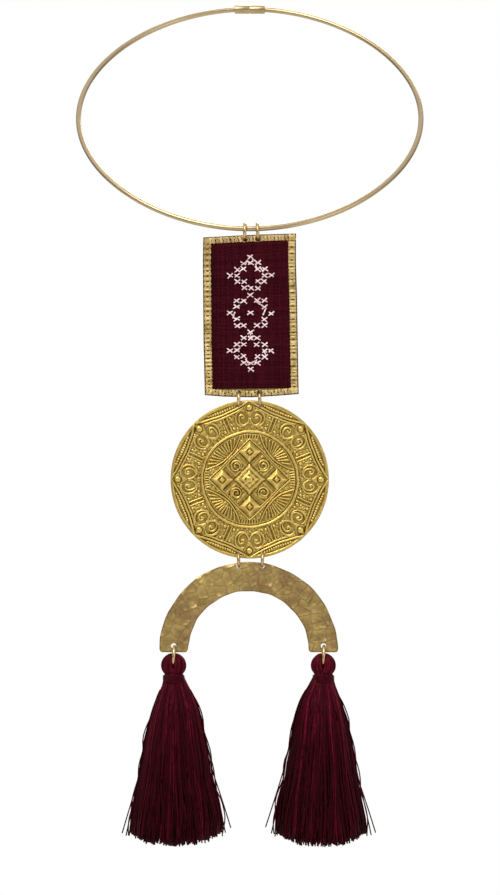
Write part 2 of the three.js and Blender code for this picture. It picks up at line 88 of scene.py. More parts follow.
def blended(material, factor, low, high, start=0.3, end=0.7):
    """Goes from one number or colour to another as the factor goes from start to end."""
    inputs = {"Value": factor, "From Min": start, "From Max": end}
    share = wire(material, "ShaderNodeMapRange", inputs).outputs[0]
    if isinstance(low, float):
        inputs = {"Value": share, "To Min": low, "To Max": high}
        return wire(material, "ShaderNodeMapRange", inputs).outputs[0]
    mixed = wire(material, "ShaderNodeMix", {0: share, 6: low, 7: high}, data_type="RGBA")
    return mixed.outputs[2]


def finish_of(material, **inputs):
    """The material's surface shader, with its inputs set or joined."""
    shader = material.node_tree.nodes["Principled BSDF"]
    for name, value in inputs.items():
        socket = shader.inputs[name.replace("_", " ")]
        if isinstance(value, bpy.types.NodeSocket):
            material.node_tree.links.new(value, socket)
        else:
            socket.default_value = value
    return shader


def new_material(name):
    material = bpy.data.materials.new(name)
    material.use_nodes = True
    return material


def lay(name, points, faces, material, body):
    """A smooth mesh piece from points in millimetres, which moves with a body of the frame."""
    mesh = bpy.data.meshes.new(name)
    if isinstance(faces, np.ndarray):
        faces = faces.tolist()
    mesh.from_pydata((np.asarray(points) * mm).tolist(), [], faces)
    mesh.shade_smooth()
    mesh.materials.append(material)
    piece = bpy.data.objects.new(name, mesh)
    scene.collection.objects.link(piece)
    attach(piece, body)
    return piece


def unit(vectors):
    return vectors / np.maximum(np.linalg.norm(vectors, axis=-1, keepdims=True), 1e-9)


def bars(paths, radii, sides):
    """Round bars along paths of shape (bars, points, 3), with closed ends."""
    paths = np.asarray(paths, float)
    count, length = paths.shape[:2]
    radii = np.broadcast_to(radii, (count, length))
    along = unit(np.gradient(paths, axis=1))
    across = np.empty_like(paths)
    first = np.where(np.abs(along[:, 0, 1:2]) < 0.9, [[0.0, 1.0, 0.0]], [[1.0, 0.0, 0.0]])
    for step in range(length):
        before = first if step == 0 else across[:, step - 1]
        lean = np.sum(before * along[:, step], axis=1, keepdims=True)
        across[:, step] = unit(before - lean * along[:, step])
    beside = np.cross(along, across)
    turns = 2 * np.pi * np.arange(sides) / sides
    ring = np.cos(turns)[:, None] * across[:, :, None] + np.sin(turns)[:, None] * beside[:, :, None]
    points = paths[:, :, None] + radii[:, :, None, None] * ring
    spot = np.arange(count * length * sides).reshape(count, length, sides)
    turned = np.roll(spot, -1, axis=2)
    quads = np.stack([spot[:, :-1], spot[:, 1:], turned[:, 1:], turned[:, :-1]], axis=-1)
    ends = spot[:, 0].tolist() + spot[:, -1, ::-1].tolist()
    return points.reshape(-1, 3), quads.reshape(-1, 4).tolist() + ends


def brass(name, colour, dull, roughness, scratch):
    """Brass with tarnished clouds, fine wear in its gloss and small dents."""
    material = new_material(name)
    clouds = noise(material, 60, 4.0, 0.5)
    wear = noise(material, 1100, 3.0, 0.5)
    dents = noise(material, 220, 2.0, 0.5)
    tint = blended(material, clouds, dull, colour, 0.35, 0.62)
    gloss = blended(material, wear, roughness * 0.85, roughness * 1.2)
    bump = wire(material, "ShaderNodeBump", {"Height": dents, "Strength": scratch, "Distance": 0.00006})
    finish_of(material, Base_Color=tint, Metallic=1.0, Roughness=gloss, Normal=bump.outputs[0])
    return material


bright_brass = brass("bright_brass", (0.46, 0.358, 0.215, 1), (0.41, 0.312, 0.175, 1), 0.33, 0.004)


def collar_point(around, out=0.0, up=0.0):
    """A point beside the loop's centre line, in the loop's tilted plane, with the front at zero."""
    reach = loop_radius * (1 + loop_squareness * np.cos(4 * around)) + out
    level = -reach * np.cos(around)
    tilted = level * math.cos(collar_tilt) - up * math.sin(collar_tilt)
    risen = level * math.sin(collar_tilt) + up * math.cos(collar_tilt)
    return np.stack([reach * np.sin(around), tilted, risen + 0 * around], axis=-1)


wire_end = math.pi - math.asin(end_gap / loop_radius)
around = np.linspace(-wire_end, wire_end, 420)
points, faces = bars(collar_point(around)[None], neck_wire_radius, 24)
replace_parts(lay("neck_wire", points, faces, bright_brass, "collar"), "collar_wire")

# Clasp: a plain brass sleeve that takes both wire ends behind the neck, where the photograph hides it.
# Its rims are rounded, and a shallow groove runs round its middle over the web between the sockets.
# The profile gives the radius and the place along the sleeve, from the web out to one rim and back.
clasp_half_length = 6.0
clasp_profile = [
    (0.0, -0.7), (1.3, -0.7), (1.3, -5.7), (1.38, -5.93), (1.55, -6.0), (1.7, -5.92), (1.75, -5.7),
    (1.75, -0.5), (1.66, -0.3), (1.63, 0.0), (1.66, 0.3), (1.75, 0.5),
    (1.75, 5.7), (1.7, 5.92), (1.55, 6.0), (1.38, 5.93), (1.3, 5.7), (1.3, 0.7), (0.0, 0.7),
]
profile = np.array(clasp_profile)
turns = np.linspace(0, 2 * np.pi, 32, endpoint=False)
clasp_sides = len(turns)
back = loop_radius * (1 + loop_squareness)
sag = back - math.sqrt(back ** 2 - clasp_half_length ** 2)
out = (back - sag / 2) + np.outer(profile[:, 0], np.cos(turns))
up = np.outer(profile[:, 0], np.sin(turns))
tilted = out * math.cos(collar_tilt) - up * math.sin(collar_tilt)
risen = out * math.sin(collar_tilt) + up * math.cos(collar_tilt)
across = np.repeat(profile[:, 1:2], clasp_sides, axis=1)
points = np.stack([across, tilted, risen], axis=-1)
spot = np.arange(points.shape[0] * clasp_sides).reshape(-1, clasp_sides)
turned = np.roll(spot, -1, axis=1)
faces = np.stack([spot[:-1], turned[:-1], turned[1:], spot[1:]], axis=-1).reshape(-1, 4)
clasp = lay("clasp", points.reshape(-1, 3), faces, bright_brass, "collar")
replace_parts(clasp, "collar_clasp")

# Jump rings: round brass wire wound on a mandrel, cut and closed on the pieces that they join.
# Each has a butt joint, a hair wide, turned to where it was left by the pliers. The two that carry the
# tassels are pulled a little oval by their load.
# Ring, body, radius, how far it is pulled oval, wire, and the angles of its joint and of its lean.
rings = [
    ("collar_ring_left", "panel", 2.9, 0.0, 1.24, 200, 2),
    ("collar_ring_right", "panel", 2.9, 0.0, 1.18, 150, -3),
    ("panel_ring_left", "panel", 2.4, 0.0, 1.22, 75, 2),
    ("panel_ring_right", "panel", 2.4, 0.0, 1.22, -60, -2),
    ("medallion_ring_left", "medallion", 2.45, 0.0, 1.2, 110, -2),
    ("medallion_ring_right", "medallion", 2.45, 0.0, 1.2, 95, 3),
    ("tassel_ring_left", "arch", 3.0, 0.85, 1.25, 170, 4),
    ("tassel_ring_right", "arch", 3.0, 0.85, 1.25, 20, 3),
]
ring_brass = brass("ring_brass", (0.60, 0.45, 0.22, 1), (0.47, 0.33, 0.14, 1), 0.28, 0.02)
for name, body, radius, pulled, thick, seam, lean in rings:
    low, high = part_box(name)
    middle = np.array((low + high) / 2) / mm - (0, 0, pulled)
    joint_gap = 0.03 / radius
    turn = math.radians(seam) + np.linspace(joint_gap, 2 * np.pi - joint_gap, 72)
    side = math.radians(lean)
    rise = (radius + pulled) * np.sin(turn)
    path = np.stack([rise * math.sin(side), -radius * np.cos(turn), rise * math.cos(side)], axis=-1)
    points, faces = bars((path + middle)[None], thick / 2, 16)
    ring = lay(name.replace("ring", "jump_ring"), points, faces, ring_brass, body)
    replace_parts(ring, name)

# Panel backing: a stiff dark sheet of leather board that stands a little proud of the braid all round.
# The jump rings are put through it and the braid at both ends. The frame's own piece shows its true shape.
leather = new_material("backing_board")
pores = noise(leather, 1900, 4.0, 0.7)
patches = noise(leather, 120, 3.0, 0.5)
scuffed = blended(leather, patches, (0.014, 0.008, 0.006, 1), (0.034, 0.019, 0.014, 1))
grain = wire(leather, "ShaderNodeBump", {"Height": pores, "Strength": 0.7, "Distance": 0.00018})
finish_of(
    leather,
    Base_Color=blended(leather, pores, (0.007, 0.004, 0.003, 1), scuffed, 0.38, 0.62),
    Roughness=blended(leather, pores, 0.58, 0.85),
    Specular_IOR_Level=0.28,
    Normal=grain.outputs[0],
)
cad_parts["panel_backing"].material_slots[0].material = leather

# Panel cloth: an even-weave cotton in deep burgundy, stretched inside the braid.
# Its threads are spun a little unevenly, so each one has its own thickness and shade.
# The window's corners run from the upper left one clockwise, as the braid frames them.
rng = np.random.default_rng(7)
window = np.array([(-14.42, -51.15), (14.35, -49.69), (15.34, -106.55), (-13.84, -106.96)])
cloth_front = -0.85
threads_across, threads_down, fine = 54, 104, 3


def shades_on(piece, values):
    """Keeps one number for each point of a piece, for its material to read."""
    values = np.repeat(np.asarray(values, float)[:, None], 4, axis=1)
    layer = piece.data.color_attributes.new("shade", "FLOAT_COLOR", "POINT")
    layer.data.foreach_set("color", values.astype(np.float32).ravel())


def shade_of(material):
    return wire(material, "ShaderNodeAttribute", {}, attribute_name="shade").outputs["Fac"]


across = np.linspace(0, threads_across, threads_across * fine + 1)
down = np.linspace(0, threads_down, threads_down * fine + 1)
warp, weft = np.meshgrid(across, down)
share, drop = (warp / threads_across)[..., None], (weft / threads_down)[..., None]
top = window[0] * (1 - share) + window[1] * share
bottom = window[3] * (1 - share) + window[2] * share
place = top * (1 - drop) + bottom * drop
place[..., 0] += 0.05 * np.sin(weft * 0.31) * np.sin(warp * 0.11)
place[..., 1] += 0.06 * np.sin(warp * 0.23 + 1.0) * np.sin(weft * 0.07)
column = np.minimum(warp.astype(int), threads_across - 1)
row = np.minimum(weft.astype(int), threads_down - 1)
over = (column + row) % 2 == 0
hump_across, hump_down = np.abs(np.sin(np.pi * warp)), np.abs(np.sin(np.pi * weft))
hump = np.where(over, hump_across ** 0.6 * hump_down ** 1.3, hump_across ** 1.3 * hump_down ** 0.6)
warp_size = 0.8 + 0.4 * rng.random(threads_across)[column]
weft_size = 0.8 + 0.4 * rng.random(threads_down)[row]
lift = 0.13 * hump * np.where(over, weft_size, warp_size)
sag = 0.10 * np.sin(np.pi * share[..., 0]) * np.sin(np.pi * drop[..., 0])
depth = pendant_depth + cloth_front + 0.10 - lift + 0.5 * sag
points = np.stack([place[..., 0], depth, place[..., 1]], axis=-1).reshape(-1, 3)
spot = np.arange(warp.size).reshape(warp.shape)
quads = np.stack([spot[:-1, :-1], spot[1:, :-1], spot[1:, 1:], spot[:-1, 1:]], axis=-1).reshape(-1, 4)
cotton = new_material("even_weave_cotton")
fluff = noise(cotton, 6000, 4.0, 0.7)
# The paler red also serves as painted light on the tops of the threads.
deep_red, pale_and_lit_red = (0.007, 0.0003, 0.0008, 1), (0.098, 0.0090, 0.0175, 1)
thread_shade = blended(cotton, shade_of(cotton), deep_red, pale_and_lit_red, 0.0, 1.0)
fuzz = wire(cotton, "ShaderNodeBump", {"Height": fluff, "Strength": 0.6, "Distance": 0.00008})
finish_of(
    cotton,
    Base_Color=thread_shade,
    Roughness=blended(cotton, fluff, 0.75, 0.98),
    Normal=fuzz.outputs[0],
    Specular_IOR_Level=0.02,
)
cloth = lay("embroidery_cloth", points, quads, cotton, "panel")
# Each thread and crossing has its own tone. The tops of the threads are also painted lighter and the
# hollows between them darker, as painted light and shade on the weave.
thread_tone = np.where(over, rng.random(threads_down)[row], rng.random(threads_across)[column])
crossing_tone = rng.random((threads_down, threads_across))[row, column]
tone = 0.34 * thread_tone + 0.42 * crossing_tone * hump + 0.36 * hump - 0.08
shades_on(cloth, np.clip(tone, 0, 1).ravel())
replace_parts(cloth, "panel_cloth")

# Cross-stitches: two-ply cotton floss in pale pink, worked by hand over the cloth from a folk chart.
# Three linked rings of crosses hang in one column; no two crosses sit quite alike.
# Each row of the chart names the cells, from 0 to 6, that have a cross.
chart = [
    (3,), (2, 3, 4), (1, 2, 4, 5), (0, 1, 5, 6), (1, 2, 4, 5), (2, 3, 4), (3,),
    (1, 2, 4, 5), (1, 5), (0, 3, 6), (1, 5), (1, 2, 4, 5), (3,),
    (2, 3, 4), (1, 2, 4, 5), (0, 1, 5, 6), (1, 2, 4, 5), (2, 3, 4), (3,),
]
stitch_middle, stitch_top = 0.34, -57.31
stitch_apart, stitch_drop = 2.59, 2.363
plies = []
tones = []


def stitch(start, end, height):
    """One arm of a cross: two plies laid side by side, which dive into the cloth at both ends."""
    start, end = np.array(start, float), np.array(end, float)
    along = np.linspace(0, 1, 9)
    course = start + (end - start) * along[:, None]
    beside = np.array([-(end - start)[1], (end - start)[0]])
    beside /= max(np.linalg.norm(beside), 1e-6)
    rise = np.sin(np.pi * np.clip(along, 0.02, 0.98)) ** 0.35 * height
    twist = rng.random() * 6.28
    for ply in (0, 1):
        turn = twist + np.pi * ply + 5.0 * along
        sideways = 0.13 * np.cos(turn)[:, None] * beside
        depth = pendant_depth + cloth_front + 0.12 - rise - 0.06 * np.sin(turn)
        flat = course + sideways
        plies.append(np.stack([flat[:, 0], depth, flat[:, 1]], axis=-1))
        tones.append(rng.random())


half = np.array([1.02, 0.74])
for row_at, cells in enumerate(chart):
    for cell in cells:
        middle = np.array([stitch_middle + (cell - 3) * stitch_apart, stitch_top - row_at * stitch_drop])
        middle += rng.normal(0, 0.11, 2)
        reach = half * (0.9 + 0.25 * rng.random((4, 1)))
        jog = rng.normal(0, 0.13, (4, 2))
        corners = [middle + np.array(way) * far + push for way, far, push in
                   zip([(-1, 1), (1, -1), (-1, -1), (1, 1)], reach, jog)]
        stitch(corners[0], corners[1], 0.22)
        stitch(corners[2], corners[3], 0.42)
# Between some crosses the floss was carried over the cloth, from one place to another.
links = [
    ((-1.1, -58.6), (0.2, -60.2)), ((-1.6, -60.5), (-1.2, -58.9)), ((2.2, -60.6), (3.1, -62.4)),
    ((3.9, -61.3), (5.1, -63.1)), ((1.0, -58.1), (2.4, -59.1)), ((-3.1, -74.6), (-1.9, -73.6)),
    ((2.2, -74.0), (3.9, -75.4)), ((5.9, -77.2), (5.0, -79.4)), ((-6.4, -80.6), (-5.6, -78.2)),
    ((0.1, -86.1), (0.6, -88.2)), ((2.6, -96.2), (1.9, -97.9)), ((5.0, -92.4), (6.2, -94.6)),
    ((-4.9, -92.9), (-3.6, -91.7)), ((-1.6, -96.1), (-0.4, -97.6)),
]
for start, end in links:
    stitch(start, end, 0.3)
points, faces = bars(plies, 0.17, 6)
floss = new_material("cotton_floss")
hairs = noise(floss, 5000, 3.0, 0.6)
floss_tone = blended(floss, shade_of(floss), (0.64, 0.42, 0.42, 1), (0.92, 0.78, 0.77, 1), 0.0, 1.0)
soft = wire(floss, "ShaderNodeBump", {"Height": hairs, "Strength": 0.4, "Distance": 0.00006})
finish_of(floss, Base_Color=floss_tone, Roughness=0.75, Normal=soft.outputs[0], Specular_IOR_Level=0.2)
stitches = lay("cross_stitches", points, faces, floss, "panel")
shades_on(stitches, np.repeat(tones, 9 * 6))

# Braid: a flat gimp of gold foil thread sewn round the cloth, in four lengths that lap at the corners.
# Short bundles of thread cross it side by side like rungs, over a brown cotton ground with corded edges.
panel_middle, half_high, half_wide, panel_shift = -79.717, 30.45, 17.4, 0.2
sides = {
    "top": [(-1.007, 0.969), (-0.202, 0.994), (0.254, 1.006), (0.98, 1.017)],
    "right": [(0.98, 1.017), (0.978, 0.672), (1.004, 0.2), (1.017, -0.297), (1.037, -0.96)],
    "bottom": [(1.037, -0.96), (0.472, -0.985), (0.0, -1.0), (-0.572, -0.991), (-0.974, -0.973)],
    "left": [(-0.974, -0.973), (-1.002, -0.297), (-1.015, 0.672), (-1.007, 0.969)],
}
# Width, distance between rungs at the start and the end, threads in a rung, their slant, how far the
# rungs bow towards each other in pairs, and how much a rung narrows in its middle.
worked = {
    "top": (2.45, 1.42, 1.28, 3, 0.22, 0.0, 0.70),
    "right": (2.8, 1.20, 1.27, 3, 0.0, 0.13, 0.62),
    "bottom": (2.3, 1.24, 1.24, 3, -0.28, 0.0, 0.74),
    "left": (2.9, 1.22, 2.15, 4, 0.04, 0.0, 0.56),
}


def hole_for(ring, end, half_wire):
    """Where a ring goes through a plate: half a wire in from the lower (0) or upper (1) end of the ring."""
    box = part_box(ring)
    return 0.5 * (box[0].x + box[1].x) / mm, box[end].z / mm + half_wire


panel_hole_radius = 0.64
ring_holes = []
for name, end, half_wire in (("collar_ring_left", 0, 0.5), ("collar_ring_right", 0, 0.5),
                             ("panel_ring_left", 1, -0.55), ("panel_ring_right", 1, -0.55)):
    ring_holes.append((*hole_for(name, end, half_wire), panel_hole_radius))


def parted(flat):
    """Threads are pushed aside where a ring was put through the braid."""
    flat = flat.copy()
    for x, z, radius in ring_holes:
        away = flat - (x, z)
        far = np.linalg.norm(away, axis=-1, keepdims=True)
        opened = radius + far * (1 - radius / 1.4)
        flat = np.where(far < 1.4, (x, z) + away / np.maximum(far, 0.01) * opened, flat)
    return flat


def spaced(route, step):
    """The same route with points every step millimetres, and the way that it runs at each."""
    route = np.array(route, float)
    legs = np.linalg.norm(np.diff(route, axis=0), axis=1)
    run = np.concatenate([[0], np.cumsum(legs)])
    count = int(run[-1] / step) + 1
    at = np.linspace(0, run[-1], count)
    flat = np.stack([np.interp(at, run, route[:, 0]), np.interp(at, run, route[:, 1])], axis=-1)
    soft = flat.copy()
    for _ in range(12):
        soft[1:-1] = (soft[:-2] + soft[1:-1] + soft[2:]) / 3
    return soft, unit(np.gradient(soft, axis=0)), at


gimp = []
gimp_radius = []
crossing = np.linspace(-1, 1, 9)
for name, shares in sides.items():
    width, first_pitch, last_pitch, threads, slant, bow, pinch = worked[name]
    route = [(panel_shift + x * half_wide, panel_middle + z * half_high) for x, z in shares]
    course, way, at = spaced(route, 0.1)
    inward = np.stack([way[:, 1], -way[:, 0]], axis=-1)
    lapped = 0.14 if name in ("top", "bottom") else 0.0
    middle = course + inward * width / 2
    rungs = int(2 * at[-1] / (first_pitch + last_pitch))
    pitches = np.linspace(first_pitch, last_pitch, rungs)
    pitches *= at[-1] / pitches.sum()
    for rung, pitch in enumerate(pitches):
        rung_at = pitches[:rung].sum() + 0.5 * pitch + rng.normal(0, 0.05)
        turned_way = (-1) ** rung if name == "bottom" else 1
        crown = 0.25 + 0.04 * rng.normal()
        opened = np.clip(np.abs(crossing) / 0.75, 0, 1) ** 2
        for thread in range(threads):
            beside = (thread - (threads - 1) / 2) * pitch / threads
            bowed = bow * (-1) ** rung * (1 - crossing ** 2)
            run = rung_at + beside * (pinch + (1.08 - pinch) * opened) + bowed
            run += slant * turned_way * crossing * width / 2 + rng.normal(0, 0.035, 9)
            run = np.clip(run, 0, at[-1])
            line = np.stack([np.interp(run, at, middle[:, i]) for i in (0, 1)], axis=-1)
            side = np.stack([np.interp(run, at, inward[:, i]) for i in (0, 1)], axis=-1)
            reach = 0.5 * width - 0.13 - 0.32 * (2 * beside / pitch) ** 2 + 0.05 * rng.normal()
            flat = parted(line + side * (crossing * reach)[:, None])
            hump = np.sqrt(1 - 0.94 * crossing ** 2)
            depth = pendant_depth - 0.46 - lapped - crown * hump - 0.07 * np.cos(3.0 * beside)
            gimp.append(np.stack([flat[:, 0], depth, flat[:, 1]], axis=-1))
            knots = np.cos(crossing * 11 + 6.3 * rng.random())
            gimp_radius.append(0.150 + 0.03 * rng.random() + 0.030 * knots)
    for border in (-1, 1):
        beads = 2 * np.pi * np.interp(at, np.append(0, np.cumsum(pitches)), np.arange(rungs + 1))
        flat = parted(middle + inward * (border * (width / 2 - 0.40 - 0.16 * np.cos(beads)))[:, None])
        depth = pendant_depth - 0.44 - lapped + 0.05 * np.cos(beads)
        edge_cord = np.stack([flat[:, 0], depth, flat[:, 1]], axis=-1)
        gimp.append(edge_cord[::2])
        gimp_radius.append((0.16 - 0.06 * np.cos(beads))[::2])
# Towards a ring's hole the threads lie deep in shadow, so their tone falls below nought there.
points, faces, tones = [], [], []
shadow_width = 0.62
made = 0
for course, thickness in zip(gimp, gimp_radius):
    found, quads = bars(course[None], thickness, 5)
    points.append(found)
    faces += [[corner + made for corner in quad] for quad in quads]
    tone = np.full(len(found), rng.random())
    for x, z, radius in ring_holes:
        far = np.hypot(found[:, 0] - x, found[:, 2] - z) - radius
        tone -= 1.9 * np.clip(1 - far / shadow_width, 0, 1)
    tones.append(tone)
    made += len(found)
foil = new_material("gold_gimp")
wraps = noise(foil, 5200, 2.0, 0.5)
aged = noise(foil, 260, 4.0, 0.6)
foil_colour = blended(foil, shade_of(foil), (0.50, 0.33, 0.09, 1), (0.97, 0.78, 0.40, 1), 0.0, 1.0)
foil_tint = blended(foil, aged, (0.36, 0.23, 0.06, 1), foil_colour, 0.30, 0.46)
# Tones below nought paint the shadow at the ring holes almost black.
foil_tint = blended(foil, shade_of(foil), (0.030, 0.018, 0.008, 1), foil_tint, -0.9, 0.0)
ridges = wire(foil, "ShaderNodeBump", {"Height": wraps, "Strength": 0.9, "Distance": 0.00015})
foil_gloss = blended(foil, wraps, 0.28, 0.55)
finish_of(foil, Base_Color=foil_tint, Metallic=0.7, Roughness=foil_gloss, Normal=ridges.outputs[0])
braid = lay("gimp_braid", np.concatenate(points), faces, foil, "panel")
shades_on(braid, np.concatenate(tones))
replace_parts(braid, "panel_border")


def inside(places, loop):
    """Which places lie inside a closed loop of corners."""
    found = np.zeros(len(places), bool)
    for (x0, z0), (x1, z1) in zip(loop, np.roll(loop, -1, axis=0)):
        crosses = (z0 > places[:, 1]) != (z1 > places[:, 1])
        rise = z1 - z0 if z1 != z0 else 1e-9
        found ^= crosses & (places[:, 0] < x0 + (x1 - x0) * (places[:, 1] - z0) / rise)
    return found


def flat_faces(loops):
    """Triangles that fill the first loop and leave the others open, as places and corner numbers."""
    flat = [Vector(place) for loop in loops for place in loop]
    edges, made = [], 0
    for loop in loops:
        count = len(loop)
        edges += [(made + i, made + (i + 1) % count) for i in range(count)]
        made += count
    found = delaunay_2d_cdt(flat, edges, [], 1, 1e-6)
    places = np.array([tuple(place) for place in found[0]])
    corners = np.array(found[2])
    middle = places[corners].mean(axis=1)
    keep = inside(middle, np.array(loops[0]))
    for loop in loops[1:]:
        keep &= ~inside(middle, np.array(loop))
    return places, corners[keep]


def slab(loops, front, back):
    """A flat plate between two depths, cut to an outline with holes."""
    places, corners = flat_faces(loops)
    count = len(places)
    lid = np.insert(places, 1, front, axis=1)
    base = np.insert(places, 1, back, axis=1)
    points, faces = [lid, base], corners.tolist() + (corners[:, ::-1] + count).tolist()
    made = 2 * count
    for loop in loops:
        loop = np.array(loop)
        size = len(loop)
        points += [np.insert(loop, 1, front, axis=1), np.insert(loop, 1, back, axis=1)]
        for i in range(size):
            j = (i + 1) % size
            faces.append([made + i, made + j, made + size + j, made + size + i])
        made += 2 * size
    return np.concatenate(points), faces


def circle(x, z, radius, count=28):
    turns = np.linspace(0, 2 * np.pi, count, endpoint=False)
    return np.stack([x + radius * np.cos(turns), z + radius * np.sin(turns)], axis=-1)


ground_inset = 0.55
ground_outline = []
for shares in sides.values():
    for x, z in shares[:-1]:
        corner_x = panel_shift + x * (half_wide - ground_inset)
        ground_outline.append((corner_x, panel_middle + z * (half_high - ground_inset)))
ground_window = window + np.sign(window - window.mean(axis=0)) * 0.4
loops = [np.array(ground_outline), ground_window] + [circle(*hole) for hole in ring_holes]
points, faces = slab(loops, pendant_depth - 0.50, pendant_depth + 0.14)
ground = new_material("gimp_ground")
fibres = noise(ground, 4200, 3.0, 0.6)
loose = wire(ground, "ShaderNodeBump", {"Height": fibres, "Strength": 0.8, "Distance": 0.0002})
finish_of(
    ground,
    Base_Color=blended(ground, fibres, (0.085, 0.050, 0.006, 1), (0.21, 0.130, 0.020, 1)),
    Metallic=0.3, Roughness=0.7, Normal=loose.outputs[0],
)
lay("gimp_ground", points, faces, ground, "panel")

# Medallion: one brass disc cast from a carved mould, with traditional eightfold and fourfold ornament.
# Its high points are rubbed bright and its hollows keep a brown patina. The back is plain.
# The ornament is worked out on a grid, in shares of the disc's radius, with its height in millimetres.
disc, disc_middle, disc_front, disc_back = 29.9, -141.462, -0.40, 0.75
disc_hole_radius = 0.65
cells = 300
steps = np.linspace(-1, 1, cells + 1)
square_x, square_z = np.meshgrid(steps, steps)
wide = np.abs(square_x) > np.abs(square_z)
with np.errstate(divide="ignore", invalid="ignore"):
    out = np.where(wide, square_x, square_z)
    turn = np.where(wide, np.pi / 4 * square_z / square_x, np.pi / 2 - np.pi / 4 * square_x / square_z)
turn = np.nan_to_num(turn)
x, z = out * np.cos(turn), out * np.sin(turn)


def blob(away, half, height):
    """A soft-shouldered line or knob where away is the distance from its middle."""
    return height * np.clip(1 - (away / half) ** 2, 0, 1) ** 1.3


def dome(away, radius, height):
    return height * np.sqrt(np.clip(1 - (away / radius) ** 2, 0, 1))


def away_from(px, pz, line):
    """How far places are from a line of short straight runs."""
    best = np.full(px.shape, 9.0)
    for (x0, z0), (x1, z1) in zip(line[:-1], line[1:]):
        dx, dz = x1 - x0, z1 - z0
        along = np.clip(((px - x0) * dx + (pz - z0) * dz) / (dx * dx + dz * dz + 1e-12), 0, 1)
        best = np.minimum(best, np.hypot(px - x0 - along * dx, pz - z0 - along * dz))
    return best


def pebbles(px, pz, size, seed):
    """Rounded grains set close together, from 0 between them to 1 on top."""
    grains = np.random.default_rng(seed)
    count = int(2.4 / size) + 4
    jog = grains.random((count, count, 2))
    column, row = np.floor(px / size).astype(int), np.floor(pz / size).astype(int)
    near = np.full(px.shape, 9.0)
    for i in (-1, 0, 1):
        for j in (-1, 0, 1):
            c, r = column + i, row + j
            spot = jog[c % count, r % count]
            away = np.hypot(px / size - c - spot[..., 0], pz / size - r - spot[..., 1])
            near = np.minimum(near, away)
    return np.clip(1 - near * 1.35, 0, 1)


# The carver's hand leaves every line a little off its true place.
x_hand = x + 0.0035 * np.sin(7.3 * z + 1.0) + 0.0025 * np.sin(15.1 * x + 2.0) + 0.0015 * np.sin(31 * z)
z_hand = z + 0.0035 * np.sin(6.1 * x + 4.0) + 0.0025 * np.sin(13.7 * z + 0.5) + 0.0015 * np.sin(29 * x)
reach = np.hypot(x_hand, z_hand)
angle = np.degrees(np.arctan2(x_hand, z_hand))
fold = (angle + 22.5) % 45 - 22.5
point_side, point_up = reach * np.abs(np.sin(np.radians(fold))), reach * np.cos(np.radians(fold))
dip = 22.5 - np.abs(fold)
dip_side, dip_up = reach * np.sin(np.radians(dip)), reach * np.cos(np.radians(dip))


def star_line(tip, low):
    """How far outside the star's hollow side a place is. The side is an arc through two tips and a dip."""
    up = (tip ** 2 - low ** 2) / (2 * (tip * math.cos(math.radians(22.5)) - low))
    return (up - low) - np.hypot(dip_side, dip_up - up)


grains = pebbles(x_hand, z_hand, 0.021, 3)
coarse = pebbles(x_hand, z_hand, 0.036, 5)
relief = 0.14 * grains + 0.24 * coarse
outside = reach > 0.63

# A star of eight hollow sides runs round the rim, in two lines, with beads in the lenses outside it.
lens = star_line(0.992, 0.882) > 0
band_rise = np.clip((reach - 0.957) / 0.010, 0, 1)
band = band_rise * (0.36 - 0.16 * np.clip((reach - 0.972) / 0.026, 0, 1) ** 2)
relief = np.where(lens, np.maximum(0.01 + 0.02 * grains, band), relief)
for tip, low, half, height in ((0.995, 0.882, 0.0155, 0.52), (0.955, 0.845, 0.0130, 0.46)):
    relief = np.maximum(relief, blob(star_line(tip, low), half, height))
between = (star_line(0.980, 0.868) < 0) & (star_line(0.968, 0.858) > 0)
relief = np.where(between, 0.02, relief)
bead_at = (np.round(dip / 2.0 - 0.5) + 0.5) * 2.0
bead_away = np.hypot(star_line(0.990, 0.882) - 0.038, reach * np.radians(dip - bead_at))
relief = np.maximum(relief, dome(bead_away, 0.0145, 0.46) * (dip < 12.5))

# Two volutes spring from each of the star's points, with a kite and a stud between them.
whorl = np.radians(np.linspace(-110, 560, 50))
whorl_reach = np.interp(whorl, np.radians((-110, 250, 330, 560)), (0.090, 0.086, 0.050, 0.020))
whorl_side, whorl_up, whorl_stretch = 0.093, 0.772, 1.12
volute_side = whorl_side + whorl_reach * np.cos(whorl)
volute_up = whorl_up + whorl_stretch * whorl_reach * np.sin(whorl)
whorl_away = away_from(point_side, point_up, np.stack([volute_side, volute_up], axis=-1))
volute_disc = np.hypot(point_side - whorl_side, (point_up - whorl_up) / whorl_stretch)
relief = np.where(volute_disc < 0.085, 0.03 + 0.12 * grains, relief)
relief = np.maximum(relief, blob(whorl_away, 0.0135, 0.46) * outside)
relief = np.maximum(relief, dome(np.hypot(point_side - whorl_side, point_up - whorl_up), 0.015, 0.40))
kite = point_side / 0.080 + np.abs(point_up - 0.900) / np.where(point_up > 0.900, 0.075, 0.125)
relief = np.where(kite < 1, 0.22 + 0.50 * (1 - kite), relief)
relief = np.where((kite > 0.98) & (kite < 1.12) & (point_up < 0.93), 0.03, relief)
stud = np.hypot(point_side, point_up - 0.905)
relief = np.where(stud < 0.06, 0.10, relief)
relief = np.maximum(relief, 0.12 + blob(stud - 0.052, 0.010, 0.22) * (stud < 0.07))
relief = np.where(stud < 0.042, 0.12 + dome(stud, 0.042, 0.85), relief)

